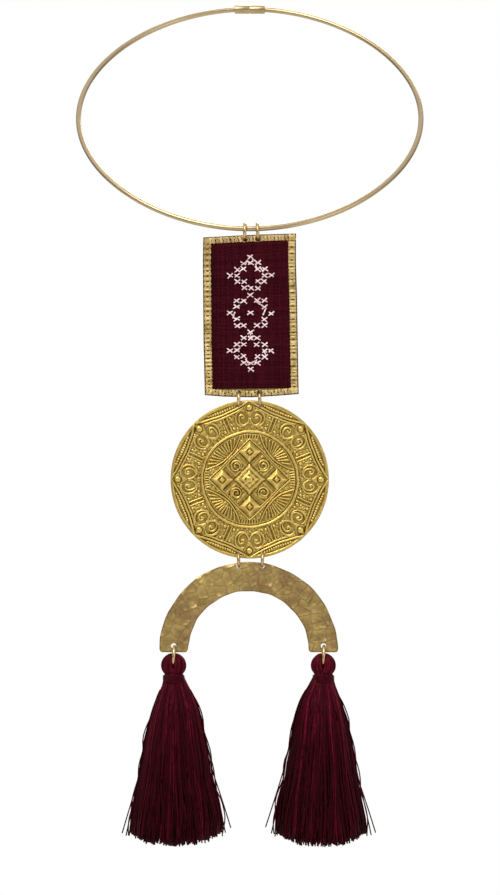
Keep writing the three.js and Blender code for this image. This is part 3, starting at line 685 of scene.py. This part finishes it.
# Between the points stand twin posts with small beads and a leaf beside them.
flank = (dip_up > 0.643) & (dip_up < 0.828)
relief = np.where((dip_side < 0.034) & flank, 0.06, relief)
relief = np.maximum(relief, blob(dip_side - 0.023, 0.0105, 0.44) * flank)
small_beads = ((0.060, 0.668, 0.020), (0.062, 0.812, 0.018), (0.105, 0.655, 0.015), (0.052, 0.72, 0.013))
for bead_side, bead_up, size in small_beads:
    bead = np.hypot(dip_side - bead_side, dip_up - bead_up)
    relief = np.where(bead < size * 1.35, np.minimum(relief, 0.06), relief)
    relief = np.maximum(relief, dome(bead, size, 0.40))
leaf = away_from(dip_side, dip_up, [(0.058, 0.79), (0.082, 0.76), (0.075, 0.735)])
relief = np.maximum(relief, blob(leaf, 0.011, 0.30))

# Inside the ring band the ornament is fourfold: fans on the diagonals and a diamond of nine cells.
centre = reach < 0.585
diagonal = np.radians(angle % 90 - 45)
fan_side, fan_up = reach * np.abs(np.sin(diagonal)), reach * np.cos(diagonal)
bow = np.linspace(0, 1, 15)[:, None]
start, pull, end = np.array([0.0, 0.392]), np.array([0.155, 0.392]), np.array([0.318, 0.492])
edge_line = (1 - bow) ** 2 * start + 2 * bow * (1 - bow) * pull + bow ** 2 * end
edge_height = np.interp(fan_side, edge_line[:, 0], edge_line[:, 1])
in_fan = centre & (fan_up > edge_height)
ray_turn = np.degrees(np.arctan2(fan_side, fan_up - 0.315))
ray_reach = np.hypot(fan_side, fan_up - 0.315)
rays = np.clip(np.cos(np.radians(ray_turn * 360 / 10.0)) + 0.05, 0, 1)
ray_span = (ray_reach > 0.115 + 0.02 * np.cos(ray_turn * 0.35)) & (reach < 0.555)
relief = np.where(in_fan, 0.03 + 0.05 * grains, relief)
relief = np.where(in_fan & ray_span, 0.02 + 0.34 * rays, relief)
comb = np.clip(np.cos(angle * np.pi / 180 * 104), 0, 1)
comb_zone = centre & ~in_fan & (reach > 0.515) & (reach < 0.57)
relief = np.where(comb_zone, 0.03 + 0.28 * comb, relief)
fan_away = away_from(fan_side, fan_up, edge_line)
relief = np.where(centre & (fan_away < 0.022), 0.04, relief)
relief = np.maximum(relief, blob(fan_away, 0.0125, 0.46) * centre)
relief = np.maximum(relief, blob(reach - 0.605, 0.021, 0.50))
relief = np.where((reach > 0.578) & (reach < 0.586), 0.02, relief)
relief = np.maximum(relief, blob(reach - 0.571, 0.008, 0.26))

# The diamond has a double frame. In its nine cells are five pyramids and four scrolls.
diamond_out = (np.abs(x_hand) + np.abs(z_hand)) / math.sqrt(2)
relief = np.where((diamond_out < 0.372) & (diamond_out > 0.322), 0.04, relief)
relief = np.maximum(relief, blob(diamond_out - 0.3640, 0.0115, 0.52) * centre)
relief = np.maximum(relief, blob(diamond_out - 0.3405, 0.0085, 0.40) * centre)
rising, falling = np.abs(x_hand + z_hand) / math.sqrt(2), np.abs(z_hand - x_hand) / math.sqrt(2)
in_diamond = diamond_out < 0.324
cell_side = np.maximum(np.abs(np.maximum(rising, falling) - 0.243), np.minimum(rising, falling))
relief = np.where(in_diamond, 0.04 + 0.05 * grains, relief)
relief = np.where(in_diamond & (cell_side > 0.078) & (cell_side < 0.096), 0.26, relief)
relief = np.where(in_diamond & (cell_side > 0.083) & (cell_side < 0.088), 0.12, relief)
curl = np.radians(np.linspace(-75, 520, 40))
curl_reach = np.interp(curl, np.radians((-75, 200, 520)), (0.068, 0.060, 0.020))
scroll = np.stack([curl_reach * np.cos(curl), curl_reach * np.sin(curl)], axis=-1)
for side, up in ((1, 1), (1, -1), (-1, 1), (-1, -1)):
    lean_by = math.radians(-45 * side * up)
    px, pz = x_hand - 0.172 * side, z_hand - 0.172 * up
    turned_x = px * math.cos(lean_by) + pz * math.sin(lean_by)
    turned_z = -px * math.sin(lean_by) + pz * math.cos(lean_by)
    near = (np.abs(px) < 0.12) & (np.abs(pz) < 0.12)
    line_away = np.full(px.shape, 9.0)
    line_away[near] = away_from(turned_x[near] * (1 if up > 0 else -1), turned_z[near], scroll)
    relief = np.maximum(relief, blob(line_away, 0.0120, 0.50) * in_diamond)
half, tall = 0.134, 1.65
for px, pz in ((0, 0.345), (0, -0.345), (0.345, 0), (-0.345, 0)):
    slope = (np.abs(x_hand - px) + np.abs(z_hand - pz)) / half
    rise = 0.22 + tall * np.clip(1 - slope, 0, 1) ** 0.92
    relief = np.where(slope < 1, rise, relief)
    relief = np.where((slope >= 1) & (slope < 1.06) & (diamond_out < 0.33), 0.05, relief)
    knob = np.abs(x_hand - px) + np.abs(z_hand - pz)
    relief = np.where(knob < 0.062, np.minimum(relief, 1.04), relief)
    relief = np.where(knob < 0.044, np.interp(knob, (0, 0.031, 0.044), (1.95, 1.86, 1.10)), relief)
slope = (np.abs(x_hand) + np.abs(z_hand)) / 0.199
steps_out = (0, 0.30, 0.36, 0.56, 0.60, 0.66, 0.82, 0.86, 1.0)
steps_up = (1.75, 1.75, 1.62, 1.20, 0.90, 1.00, 0.86, 0.66, 0.20)
stepped = np.interp(slope, steps_out, steps_up)
relief = np.where(slope < 1, stepped, relief)
hatch = (slope > 0.66) & (slope < 0.82) & (x_hand < 0) & (z_hand > 0)
relief = np.where(hatch, 0.86 + 0.12 * np.sign(np.sin((z_hand + x_hand) * 900 / 2)), relief)
relief = np.where((slope >= 1) & (slope < 1.04), 0.05, relief)
relief = np.where(slope < 0.31, 1.40, relief)
knob = np.hypot(x_hand, z_hand)
relief = np.where(knob < 0.045, 1.40 + dome(knob, 0.045, 0.62), relief)

# The rim stands a little proud and rolls over at its edge.
rim = np.clip((np.hypot(x, z) - 0.982) / 0.006, 0, 1)
relief = relief * (1 - rim) + 0.32 * rim
relief = relief - 0.16 * np.clip((np.hypot(x, z) - 0.992) / 0.008, 0, 1) ** 2


def smoothed(field, times):
    for _ in range(times):
        padded = np.pad(field, 1, mode="edge")
        beside = padded[:-2, 1:-1] + padded[2:, 1:-1] + padded[1:-1, :-2] + padded[1:-1, 2:]
        field = (beside + 2 * field) / 6
    return field


relief = smoothed(relief, 1)
hollow = 1.6 * (smoothed(relief, 30) - relief) + 4.0 * (smoothed(relief, 4) - relief)
patina = np.clip(0.45 + hollow, 0, 1)


def pierced(flat, quads, x, z, radius, cell):
    """Opens a round hole in a grid: its faces go, and the points beside it move onto its edge."""
    push = flat - (x, z)
    far = np.hypot(push[:, 0], push[:, 1])
    gone = (far[quads] < radius - 0.4 * cell).any(axis=1)
    beside = np.intersect1d(quads[gone], quads[~gone])
    flat[beside] = (x, z) + push[beside] * (radius / far[beside])[:, None]
    return quads[~gone]


def border_edges(quads):
    """The edges that only one face has, in the order of their face."""
    edges = np.concatenate([quads[:, [i, (i + 1) % quads.shape[1]]] for i in range(quads.shape[1])])
    _, first, count = np.unique(np.sort(edges, axis=1), axis=0, return_index=True, return_counts=True)
    return edges[first[count == 1]]


def walls(points, quads, back):
    """Walls from a front's edges to their back points, with points of their own for a crisp edge."""
    edges = border_edges(quads)
    rim_points = np.unique(edges)
    found = np.zeros(len(points), int)
    found[rim_points] = np.arange(len(rim_points))
    size = len(rim_points)
    start, end = found[edges[:, 0]], found[edges[:, 1]]
    faces = np.stack([end, start, start + size, end + size], axis=-1)
    return np.concatenate([points[rim_points], back[rim_points]]), faces


flat = np.stack([x, z], axis=-1).reshape(-1, 2) * disc
spot = np.arange(flat.shape[0]).reshape(cells + 1, cells + 1)
quads = np.stack([spot[:-1, :-1], spot[:-1, 1:], spot[1:, 1:], spot[1:, :-1]], axis=-1).reshape(-1, 4)
disc_holes = []
for name, end, half_wire in (("panel_ring_left", 0, 0.55), ("panel_ring_right", 0, 0.55),
                             ("medallion_ring_left", 1, -0.55), ("medallion_ring_right", 1, -0.55)):
    hole_x, hole_z = hole_for(name, end, half_wire)
    disc_holes.append((hole_x, hole_z - disc_middle, disc_hole_radius))
for hole_x, hole_z, radius in disc_holes:
    quads = pierced(flat, quads, hole_x, hole_z, radius, 0.2)
depth = pendant_depth + disc_front - relief.ravel()
front = np.stack([flat[:, 0], depth, flat[:, 1] + disc_middle], axis=-1)
back = front.copy()
back[:, 1] = pendant_depth + disc_back
side_points, side_faces = walls(front, quads, back)
loops = [circle(0, 0, disc, 600)] + [circle(*hole) for hole in disc_holes]
places, corners = flat_faces(loops)
lid = np.insert(places + (0, disc_middle), 1, pendant_depth + disc_back, axis=1)
made = len(front) + len(side_points)
faces = quads.tolist() + (side_faces + len(front)).tolist() + (corners[:, ::-1] + made).tolist()
points = np.concatenate([front, side_points, lid])

cast = new_material("cast_brass")
sand = noise(cast, 3200, 3.0, 0.6)
clouds = noise(cast, 190, 4.0, 0.6)
warmth = blended(cast, clouds, (0.56, 0.38, 0.090, 1), (0.67, 0.505, 0.150, 1))
pits = blended(cast, noise(cast, 900, 6.0, 0.7), -0.11, 0.11, 0.34, 0.66)
dirt = wire(cast, "ShaderNodeMath", {0: shade_of(cast), 1: pits}, operation="ADD").outputs[0]
metal = blended(cast, dirt, warmth, (0.070, 0.030, 0.0, 1), 0.22, 0.88)
rough = blended(cast, dirt, 0.40, 0.62, 0.3, 0.9)
skin = wire(cast, "ShaderNodeBump", {"Height": sand, "Strength": 0.55, "Distance": 0.00008})
finish_of(cast, Base_Color=metal, Metallic=1.0, Roughness=rough, Normal=skin.outputs[0])
medallion = lay("medallion_cast", points, faces, cast, "medallion")
shades_on(medallion, np.concatenate([patina.ravel(), np.full(len(side_points) + len(lid), 0.45)]))
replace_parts(medallion, "medallion")

# Arch: a half ring cut from brass sheet and hammered cold, so round dents meet in low ridges.
# The metal is left dull, with warm heat stains and a darker line along its edges.
# Shade is painted along the ridges where the dents meet.
arch_middle, arch_x = -206.482, -0.45
arch_inner, arch_width, leg_drop, corner = 22.8, 11.0, 0.3, 1.2
along_count, across_count = 320, 36
shares = [np.linspace(0, 1, count + 1) for count in (along_count, across_count)]
along_share, across_share = np.meshgrid(*shares, indexing="ij")
radius = arch_inner + arch_width * across_share
to_edge = arch_width * np.minimum(across_share, 1 - across_share)
cut = np.where(to_edge < corner, corner - np.sqrt(np.maximum(corner ** 2 - (corner - to_edge) ** 2, 0)), 0)
end_turn = (leg_drop - cut) / radius
turn = (np.pi + end_turn) - along_share * (np.pi + 2 * end_turn)
wobble = 0.10 * np.sin(turn * 9 + 1) + 0.06 * np.sin(turn * 23 + 2)
radius = radius + wobble * (2 * across_share - 1)
x, z = radius * np.cos(turn), radius * np.sin(turn)


def hammered(x, z, seed, apart, depth):
    """Shallow dents, one for each blow, that meet in ridges, and how near each place is to a ridge."""
    blows = np.random.default_rng(seed)
    best = np.full(x.shape, 9.0)
    second = np.full(x.shape, 9.0)
    curve = depth / (0.55 * apart) ** 2
    for row in range(-2, 19):
        for column in range(-15, 16):
            px = (column + 0.5 * (row % 2)) * apart + blows.normal(0, 0.24 * apart)
            pz = row * 0.87 * apart - 2 + blows.normal(0, 0.24 * apart)
            push = 0.35 * depth * blows.random()
            lean_x, lean_z = blows.normal(0, 0.055, 2)
            bowl = curve * ((x - px) ** 2 + (z - pz) ** 2)
            dent = bowl - push + lean_x * (x - px) + lean_z * (z - pz)
            second = np.minimum(second, np.maximum(best, dent))
            best = np.minimum(best, dent)
    return best, np.exp(-((second - best) / (0.16 * depth)) ** 2)


large, large_seam = hammered(x, z, 11, 4.1, 0.28)
small, small_seam = hammered(x, z, 12, 2.7, 0.13)
face_field = np.clip(large, -0.16, 0.5) + 0.55 * small
back_field = np.clip(hammered(x, z, 21, 5.2, 0.10)[0], -0.1, 0.3)
edge_away = np.minimum(to_edge, radius * np.minimum(turn + end_turn, np.pi + end_turn - turn))
round_off = 0.16 * (1 - np.clip(edge_away / 0.45, 0, 1)) ** 2
flat = np.stack([x, z], axis=-1).reshape(-1, 2)
spot = np.arange(flat.shape[0]).reshape(along_count + 1, across_count + 1)
quads = np.stack([spot[:-1, :-1], spot[:-1, 1:], spot[1:, 1:], spot[1:, :-1]], axis=-1).reshape(-1, 4)
arch_holes = ((-3.75, 32.2, 0.76), (5.25, 32.2, 0.76), (-28.3, 2.1, 1.0), (28.3, 2.1, 1.0))
for hole_x, hole_z, hole_radius in arch_holes:
    quads = pierced(flat, quads, hole_x, hole_z, hole_radius, 0.3)
flat += (arch_x, arch_middle)
face_depth = (pendant_depth - 0.38 - face_field + round_off).ravel()
back_depth = (pendant_depth + 0.42 + back_field - round_off).ravel()
front = np.stack([flat[:, 0], face_depth, flat[:, 1]], axis=-1)
back = np.stack([flat[:, 0], back_depth, flat[:, 1]], axis=-1)
side_points, side_faces = walls(front, quads, back)
faces = quads.tolist() + (quads[:, ::-1] + len(front)).tolist() + (side_faces + 2 * len(front)).tolist()
sheet_brass = new_material("hammered_brass")
stains = noise(sheet_brass, 75, 5.0, 0.62)
blotches = noise(sheet_brass, 240, 4.0, 0.6)
scuffs = noise(sheet_brass, 2600, 4.0, 0.7, (1, 1, 2.5))
base = blended(sheet_brass, stains, (0.33, 0.222, 0.090, 1), (0.465, 0.335, 0.118, 1), 0.40, 0.58)
dulled = blended(sheet_brass, blotches, (0.30, 0.200, 0.075, 1), base, 0.30, 0.50)
# Darker at the sheet's edges, with painted shade along the ridges between the dents.
dark_edges_and_ridge_shade = blended(sheet_brass, shade_of(sheet_brass), (0.09, 0.055, 0.020, 1), dulled, 0.0, 1.0)
marks = wire(sheet_brass, "ShaderNodeBump", {"Height": scuffs, "Strength": 0.5, "Distance": 0.00006})
finish_of(
    sheet_brass, Base_Color=dark_edges_and_ridge_shade, Metallic=1.0,
    Roughness=blended(sheet_brass, blotches, 0.48, 0.37), Normal=marks.outputs[0],
)
points = np.concatenate([front, back, side_points])
arch = lay("hammered_arch", points, faces, sheet_brass, "arch")
# The colour darkens towards the sheet's edges over the last half millimetre.
edge_darkening = np.clip(edge_away / 0.5, 0.25, 1)
# Painted shade: the colour darkens along the ridges where the dents meet.
painted_ridge_shade = 1 - 0.42 * large_seam - 0.26 * small_seam
shades_on(arch, np.concatenate([(edge_darkening * painted_ridge_shade).ravel(), edge_darkening.ravel(), np.full(len(side_points), 0.35)]))
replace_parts(arch, "arch")

# Tassels: hanks of burgundy rayon silk, looped over the jump ring, bound at the neck and cut level.
# Each thread keeps its share of the skirt from neck to hem; a few have slipped out and stand away.
# Each row is a share of the skirt's length and the shares of its half width to the left and right there.
left_skirt = [
    (0.0, 0.2, 0.27), (0.05, 0.31, 0.38), (0.1, 0.37, 0.46), (0.165, 0.45, 0.54), (0.23, 0.51, 0.6),
    (0.355, 0.62, 0.68), (0.48, 0.68, 0.79), (0.61, 0.76, 0.83), (0.735, 0.84, 0.97), (0.86, 0.91, 1.05),
    (1.0, 0.96, 1.04),
]
right_skirt = [
    (0.0, 0.28, 0.23), (0.05, 0.4, 0.28), (0.1, 0.49, 0.36), (0.165, 0.57, 0.43), (0.23, 0.63, 0.51),
    (0.355, 0.69, 0.59), (0.48, 0.8, 0.67), (0.61, 0.86, 0.73), (0.735, 0.98, 0.81), (0.86, 1.02, 0.9),
    (1.0, 1.04, 0.94),
]
# Loose threads leave the skirt's side for good at one height and end further out at another.
strays = {
    "left": [
        (-1, 0.60, 1.055, 0.948), (1, 0.54, 1.18, 0.915), (-1, 0.55, 0.975, 0.965), (1, 0.60, 1.07, 0.945),
    ],
    "right": [
        (-1, 0.52, 1.19, 0.91), (1, 0.60, 1.075, 0.945), (-1, 0.58, 1.07, 0.95), (1, 0.56, 0.985, 0.96),
    ],
}
# Slack threads bow out between two heights by so many millimetres and come back.
slack = [
    (-1, 0.22, 0.42, 0.70), (-1, 0.43, 0.60, 0.75), (-1, 0.60, 0.86, 0.95), (-1, 0.76, 0.99, 0.80),
    (1, 0.07, 0.30, 0.72), (1, 0.30, 0.52, 0.70), (1, 0.46, 0.70, 0.95), (1, 0.66, 0.95, 1.00),
]
skirt_half, skirt_length, neck_drop = 18.3, 59.5, 6.8
head_height = -211.782
silk = new_material("rayon_silk")
strand_shade = shade_of(silk)
# Painted highlights and shade of the twisted plies: streaky noise along the threads darkens the silk in
# flecks.
twist = noise(silk, 1300, 3.0, 0.6, (1, 1, 0.3))
# The silk runs from the dark to the bright dye with each strand's tone, which holds both its own tone and
# the painted light down the skirt.
dye_in_shade, dye_in_light = (0.0030, 0.0001, 0.0003, 1), (0.160, 0.0060, 0.0200, 1)
deep = blended(silk, strand_shade, dye_in_shade, dye_in_light, 0.0, 1.0)
tinted = blended(silk, twist, (0.026, 0.0010, 0.0034, 1), deep, 0.32, 0.54)
twist_marks = noise(silk, 7000, 2.0, 0.5)
spun = wire(silk, "ShaderNodeBump", {"Height": twist_marks, "Strength": 0.3, "Distance": 0.00005})
finish_of(
    silk, Base_Color=tinted, Roughness=blended(silk, strand_shade, 0.52, 0.34, 0.0, 1.0),
    Normal=spun.outputs[0], IOR=1.16, Specular_Tint=(1.0, 0.50, 0.58, 1),
)


def skirt_paths(skirt, count, levels, rng):
    """Threads that keep their place in the skirt's outline from the neck to the hem."""
    drops, lefts, rights = np.array(skirt).T
    turn = 2 * np.pi * rng.random(count)
    share = np.sqrt(0.06 + 0.88 * rng.random(count))
    share = np.where(rng.random(count) < 0.50, 0.82 + 0.15 * rng.random(count), share)
    cut = 0.986 + 0.020 * rng.normal(0, 1, count).clip(-1.6, 1.6)
    cut -= 0.080 * np.abs(share * np.sin(turn)) ** 2.5
    down = np.linspace(-0.07, 1, levels)[None, :] * cut[:, None]
    lock = np.round(turn / (2 * np.pi) * 17) / 17 * 2 * np.pi
    gather = 0.06 * np.clip(down * 1.6, 0, 1) * rng.random(count)[:, None]
    bent = turn[:, None] + (lock - turn)[:, None] * gather
    bent += rng.normal(0, 0.060, (count, 1)) * np.sin(down * 3.0)
    bent += rng.normal(0, 0.10, (count, 1)) * down
    bent += rng.normal(0, 0.020, (count, 1)) * np.sin(down * 11 + 6.3 * rng.random((count, 1)))
    half_left = np.interp(down, np.append(-0.05, drops), np.append(0.17, lefts)) * skirt_half
    half_right = np.interp(down, np.append(-0.05, drops), np.append(0.17, rights)) * skirt_half
    half_deep = np.maximum((half_left + half_right) / 2 * 0.72, 3.1)
    slimmer = 1 - 0.042 * np.sin(np.pi * np.clip(down, 0, 1))
    loose = 0.05 * rng.normal(0, 1, (count, 1)) * np.sin(np.pi * down) ** 2 * (share[:, None] < 0.9)
    reach = share[:, None] * slimmer * (1 + loose)
    side = np.sin(bent) * np.where(np.sin(bent) < 0, half_left, half_right) * reach
    ahead = np.cos(bent) * half_deep * reach
    fall = neck_drop + down * skirt_length
    return np.stack([side, -ahead, -fall], axis=-1), down, turn


def head_paths(count, levels, rng):
    """Threads that part round the ring, go over the head and down through the binding."""
    turn = 2 * np.pi * rng.random(count)
    layer = 0.94 + 0.06 * rng.random(count)
    lift = np.radians(np.append(np.linspace(96, -45, levels - 3), (-49, -58, -70)))[None, :]
    round_share = np.cos(lift)
    side = 4.42 * round_share * np.sin(turn)[:, None] * layer[:, None]
    ahead = 4.0 * round_share * np.cos(turn)[:, None] * layer[:, None]
    rise = 4.5 * np.sin(lift) * layer[:, None]
    neck = np.clip((-rise - 2.2) / 1.1, 0, 1)
    rein = 1 - neck * (1 - 3.35 / np.maximum(np.hypot(side, ahead), 3.35))
    side, ahead = side * rein, ahead * rein
    side[:, -3:], ahead[:, -3:] = side[:, -4:-3] * 0.98, ahead[:, -4:-3] * 0.98
    rise = rise + 0 * side
    rise[:, -3:] = (-4.4, -5.6, -7.2)
    open_up = np.clip((rise + 2.2) / 2.4, 0, 1)
    side = side + np.sign(side) * 0.72 * np.exp(-(side / 1.2) ** 2) * open_up
    side += 0.14 * rng.normal(0, 1, (count, 1)) * np.sin(np.pi * np.linspace(0, 1, levels))
    cleft = np.exp(-(side / 1.1) ** 2) * open_up
    return np.stack([side, -ahead * (1 - 0.20 * cleft), rise - 0.35 * cleft], axis=-1)


def head_core():
    """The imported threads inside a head, pressed in where the ring lies."""
    up, round_ = np.radians(np.linspace(-88, 88, 24)), np.linspace(0, 2 * np.pi, 48, endpoint=False)
    lift, turn = np.meshgrid(up, round_, indexing="ij")
    side, ahead = 4.3 * np.cos(lift) * np.sin(turn), 3.8 * np.cos(lift) * np.cos(turn)
    rise = 4.3 * np.sin(lift)
    cleft = np.exp(-(side / 0.95) ** 2) * np.clip((rise + 2.0) / 1.8, 0, 1)
    ahead = ahead * (1 - 0.62 * cleft)
    rise = rise - 2.3 * cleft * np.clip(rise / 4, 0, 1)
    spot = np.arange(side.size).reshape(side.shape)
    turned = np.roll(spot, -1, axis=1)
    quads = np.stack([spot[:-1], turned[:-1], turned[1:], spot[1:]], axis=-1).reshape(-1, 4)
    caps = [spot[0, ::-1].tolist(), spot[-1].tolist()]
    return np.stack([side, -ahead, rise], axis=-1).reshape(-1, 3), quads.tolist() + caps


for side, skirt, seed in (("left", left_skirt, 31), ("right", right_skirt, 47)):
    rng = np.random.default_rng(seed)
    low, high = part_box("tassel_binding_" + side)
    middle = (low + high) / 2 / mm
    origin = np.array([middle.x, pendant_depth, head_height])
    count, levels = 1600, 13
    paths, downs, turns = skirt_paths(skirt, count, levels, rng)
    thickness = np.full((count, levels), 0.285) * (0.85 + 0.3 * rng.random((count, 1)))
    points, faces = bars(paths + origin, thickness, 4)
    skirt_piece = lay("skirt_" + side, points, faces, silk, "arch")
    tone = np.clip(0.27 + rng.normal(0, 0.21, (count, 1)), 0.0, 0.7)
    tone = np.where(rng.random((count, 1)) < 0.13, 1.0, tone)
    # Threads that lie together took the dye alike, which leaves lighter and darker streaks.
    streaks = rng.random(72)
    tone = tone * (0.55 + 0.95 * np.interp(turns, np.linspace(0, 2 * np.pi, 72), streaks)[:, None])
    # Painted light: the skirt is lighter at its top, where the threads turn up to the light, and darker
    # down its length. It is made lighter again just above the hem.
    painted_top_light = 1.10 - 0.90 * np.clip(downs, 0, 1) ** 0.6
    tone = tone * (painted_top_light + 0.30 * np.clip((downs - 0.78) / 0.2, 0, 1))
    shades_on(skirt_piece, np.repeat(tone.ravel(), 4))
    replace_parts(skirt_piece, "tassel_" + side)

    loose = []
    drops, lefts, rights = np.array(skirt).T
    for way, leaves, out, drop in strays[side]:
        down = np.linspace(0.04, drop, 26)
        edge = np.interp(down, drops, lefts if way < 0 else rights) * 0.975
        left_at = np.interp(leaves, down, edge)
        straight = left_at + (out - left_at) * (down - leaves) / (drop - leaves)
        reach = np.where(down < leaves, edge, straight) + 0.006 * np.sin(down * 9 + way) * (down > leaves)
        line = [way * reach * skirt_half, -1 - down, -neck_drop - down * skirt_length]
        loose.append(np.stack(line, axis=-1))
    for way, leaves, joins, out in slack:
        down = np.linspace(0.04, 0.95 + 0.02 * rng.random(), 26)
        edge = np.interp(down, drops, lefts if way < 0 else rights) * skirt_half * 0.965
        bow = np.sin(np.pi * np.clip((down - leaves) / (joins - leaves), 0, 1)) * out
        bow *= 0.8 + 0.4 * rng.random()
        line = [way * (edge + bow), -1 - down, -neck_drop - down * skirt_length]
        loose.append(np.stack(line, axis=-1))
    points, faces = bars(np.array(loose) + origin, 0.25, 5)
    loose_piece = lay("stray_threads_" + side, points, faces, silk, "arch")
    shades_on(loose_piece, np.full(len(points), 0.22))

    over, steps = 330, 16
    points, faces = bars(head_paths(over, steps, rng) + origin, 0.25, 4)
    core_points, core_faces = head_core()
    faces += [[corner + len(points) for corner in face] for face in core_faces]
    tone = np.repeat(np.clip(0.50 + rng.normal(0, 0.24, over), 0, 1), steps * 4)
    # The core inside the head is painted almost black, as painted shade among the threads.
    tone = np.concatenate([tone, np.full(len(core_points), 0.05)])
    points = np.concatenate([points, core_points + origin])
    head_piece = lay("head_" + side, points, faces, silk, "arch")
    shades_on(head_piece, tone)

    coils = np.linspace(0, 1, 420)
    wound = []
    for layer, (turns_of, start_turn) in enumerate(((7.5, 0.0), (6.5, 2.0))):
        turn = 2 * np.pi * turns_of * coils + start_turn
        radius = 3.72 + 0.20 * layer + 0.03 * np.sin(turn * 3.3)
        rise = -3.65 - 2.75 * coils + 0.06 * np.sin(turn * 2.1 + layer)
        wound.append(np.stack([radius * np.sin(turn), -radius * np.cos(turn), rise], axis=-1))
    points, faces = bars(np.array(wound) + origin, 0.235, 6)
    bind_piece = lay("binding_thread_" + side, points, faces, silk, "arch")
    shades_on(bind_piece, np.full(len(points), 0.28))
    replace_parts(bind_piece, "tassel_binding_" + side)

# Studio: a wide round floor of pale paper well below the tassels, a large soft key above and left.
# The paper glows from a metre out, more strongly towards its rim, a painted light so that its edge is lost
# in the white. The sky is a soft grey gradient for the metal to mirror, and plain white where the camera
# sees it.
floor_turns = np.linspace(0, 2 * np.pi, 96, endpoint=False)
floor_points = np.stack([2.4 * np.cos(floor_turns), 2.4 * np.sin(floor_turns), 0 * floor_turns - 0.6], -1)
paper = new_material("pale_floor")
mottle = noise(paper, 60, 4.0, 0.5)
paper_tone = blended(paper, mottle, (0.74, 0.73, 0.71, 1), (0.78, 0.77, 0.75, 1))
from_middle = wire(paper, "ShaderNodeTexCoord", {}).outputs["Object"]
from_middle = wire(paper, "ShaderNodeVectorMath", {0: from_middle}, operation="LENGTH").outputs["Value"]
# Painted glow: the paper emits white light that grows with the distance from its middle.
paper_shader = finish_of(
    paper, Base_Color=paper_tone, Roughness=0.8,
    Emission_Strength=blended(paper, from_middle, 0.0, 0.5, 1.0, 2.1),
)
paper_shader.inputs["Emission Color"].default_value = (1, 1, 1, 1)
floor_mesh = bpy.data.meshes.new("floor")
floor_mesh.from_pydata(floor_points.tolist(), [], [tuple(range(len(floor_points)))])
floor_mesh.materials.append(paper)
floor = bpy.data.objects.new("floor", floor_mesh)
scene.collection.objects.link(floor)


def soft_light(name, place, aim, size, watts, tint):
    lamp = bpy.data.lights.new(name, "AREA")
    lamp.shape = "DISK"
    lamp.size = size
    lamp.energy = watts
    lamp.color = tint
    holder = bpy.data.objects.new(name, lamp)
    holder.location = place
    holder.rotation_euler = (Vector(aim) - Vector(place)).to_track_quat("-Z", "Y").to_euler()
    scene.collection.objects.link(holder)


soft_light("key", (-0.45, -0.95, 0.95), (0, -0.05, -0.13), 0.9, 15, (1.0, 0.97, 0.93))
soft_light("fill", (0.9, -0.8, 0.05), (0, -0.05, -0.13), 0.8, 3, (0.95, 0.97, 1.0))
soft_light("back", (0.2, 0.9, 0.6), (0, -0.05, -0.13), 0.8, 7, (1.0, 1.0, 1.0))

world = bpy.data.worlds.new("studio")
world.use_nodes = True
scene.world = world
sky = world.node_tree
background = sky.nodes["Background"]
direction = sky.nodes.new("ShaderNodeTexCoord")
parts = sky.nodes.new("ShaderNodeSeparateXYZ")
climb = sky.nodes.new("ShaderNodeMapRange")
climb.inputs["From Min"].default_value = -0.7
climb.inputs["From Max"].default_value = 0.8
tones = sky.nodes.new("ShaderNodeValToRGB")
tones.color_ramp.elements[0].color = (0.08, 0.075, 0.07, 1)
tones.color_ramp.elements[1].color = (1.0, 1.0, 1.0, 1)
horizon = tones.color_ramp.elements.new(0.45)
horizon.color = (0.27, 0.26, 0.25, 1)
seen = sky.nodes.new("ShaderNodeLightPath")
choice = sky.nodes.new("ShaderNodeMix")
choice.data_type = "RGBA"
choice.inputs[7].default_value = (1, 1, 1, 1)
sky.links.new(direction.outputs["Generated"], parts.inputs[0])
sky.links.new(parts.outputs["Z"], climb.inputs["Value"])
sky.links.new(climb.outputs[0], tones.inputs[0])
sky.links.new(tones.outputs[0], choice.inputs[6])
sky.links.new(seen.outputs["Is Camera Ray"], choice.inputs[0])
sky.links.new(choice.outputs[2], background.inputs["Color"])
scene.view_settings.view_transform = "Standard"
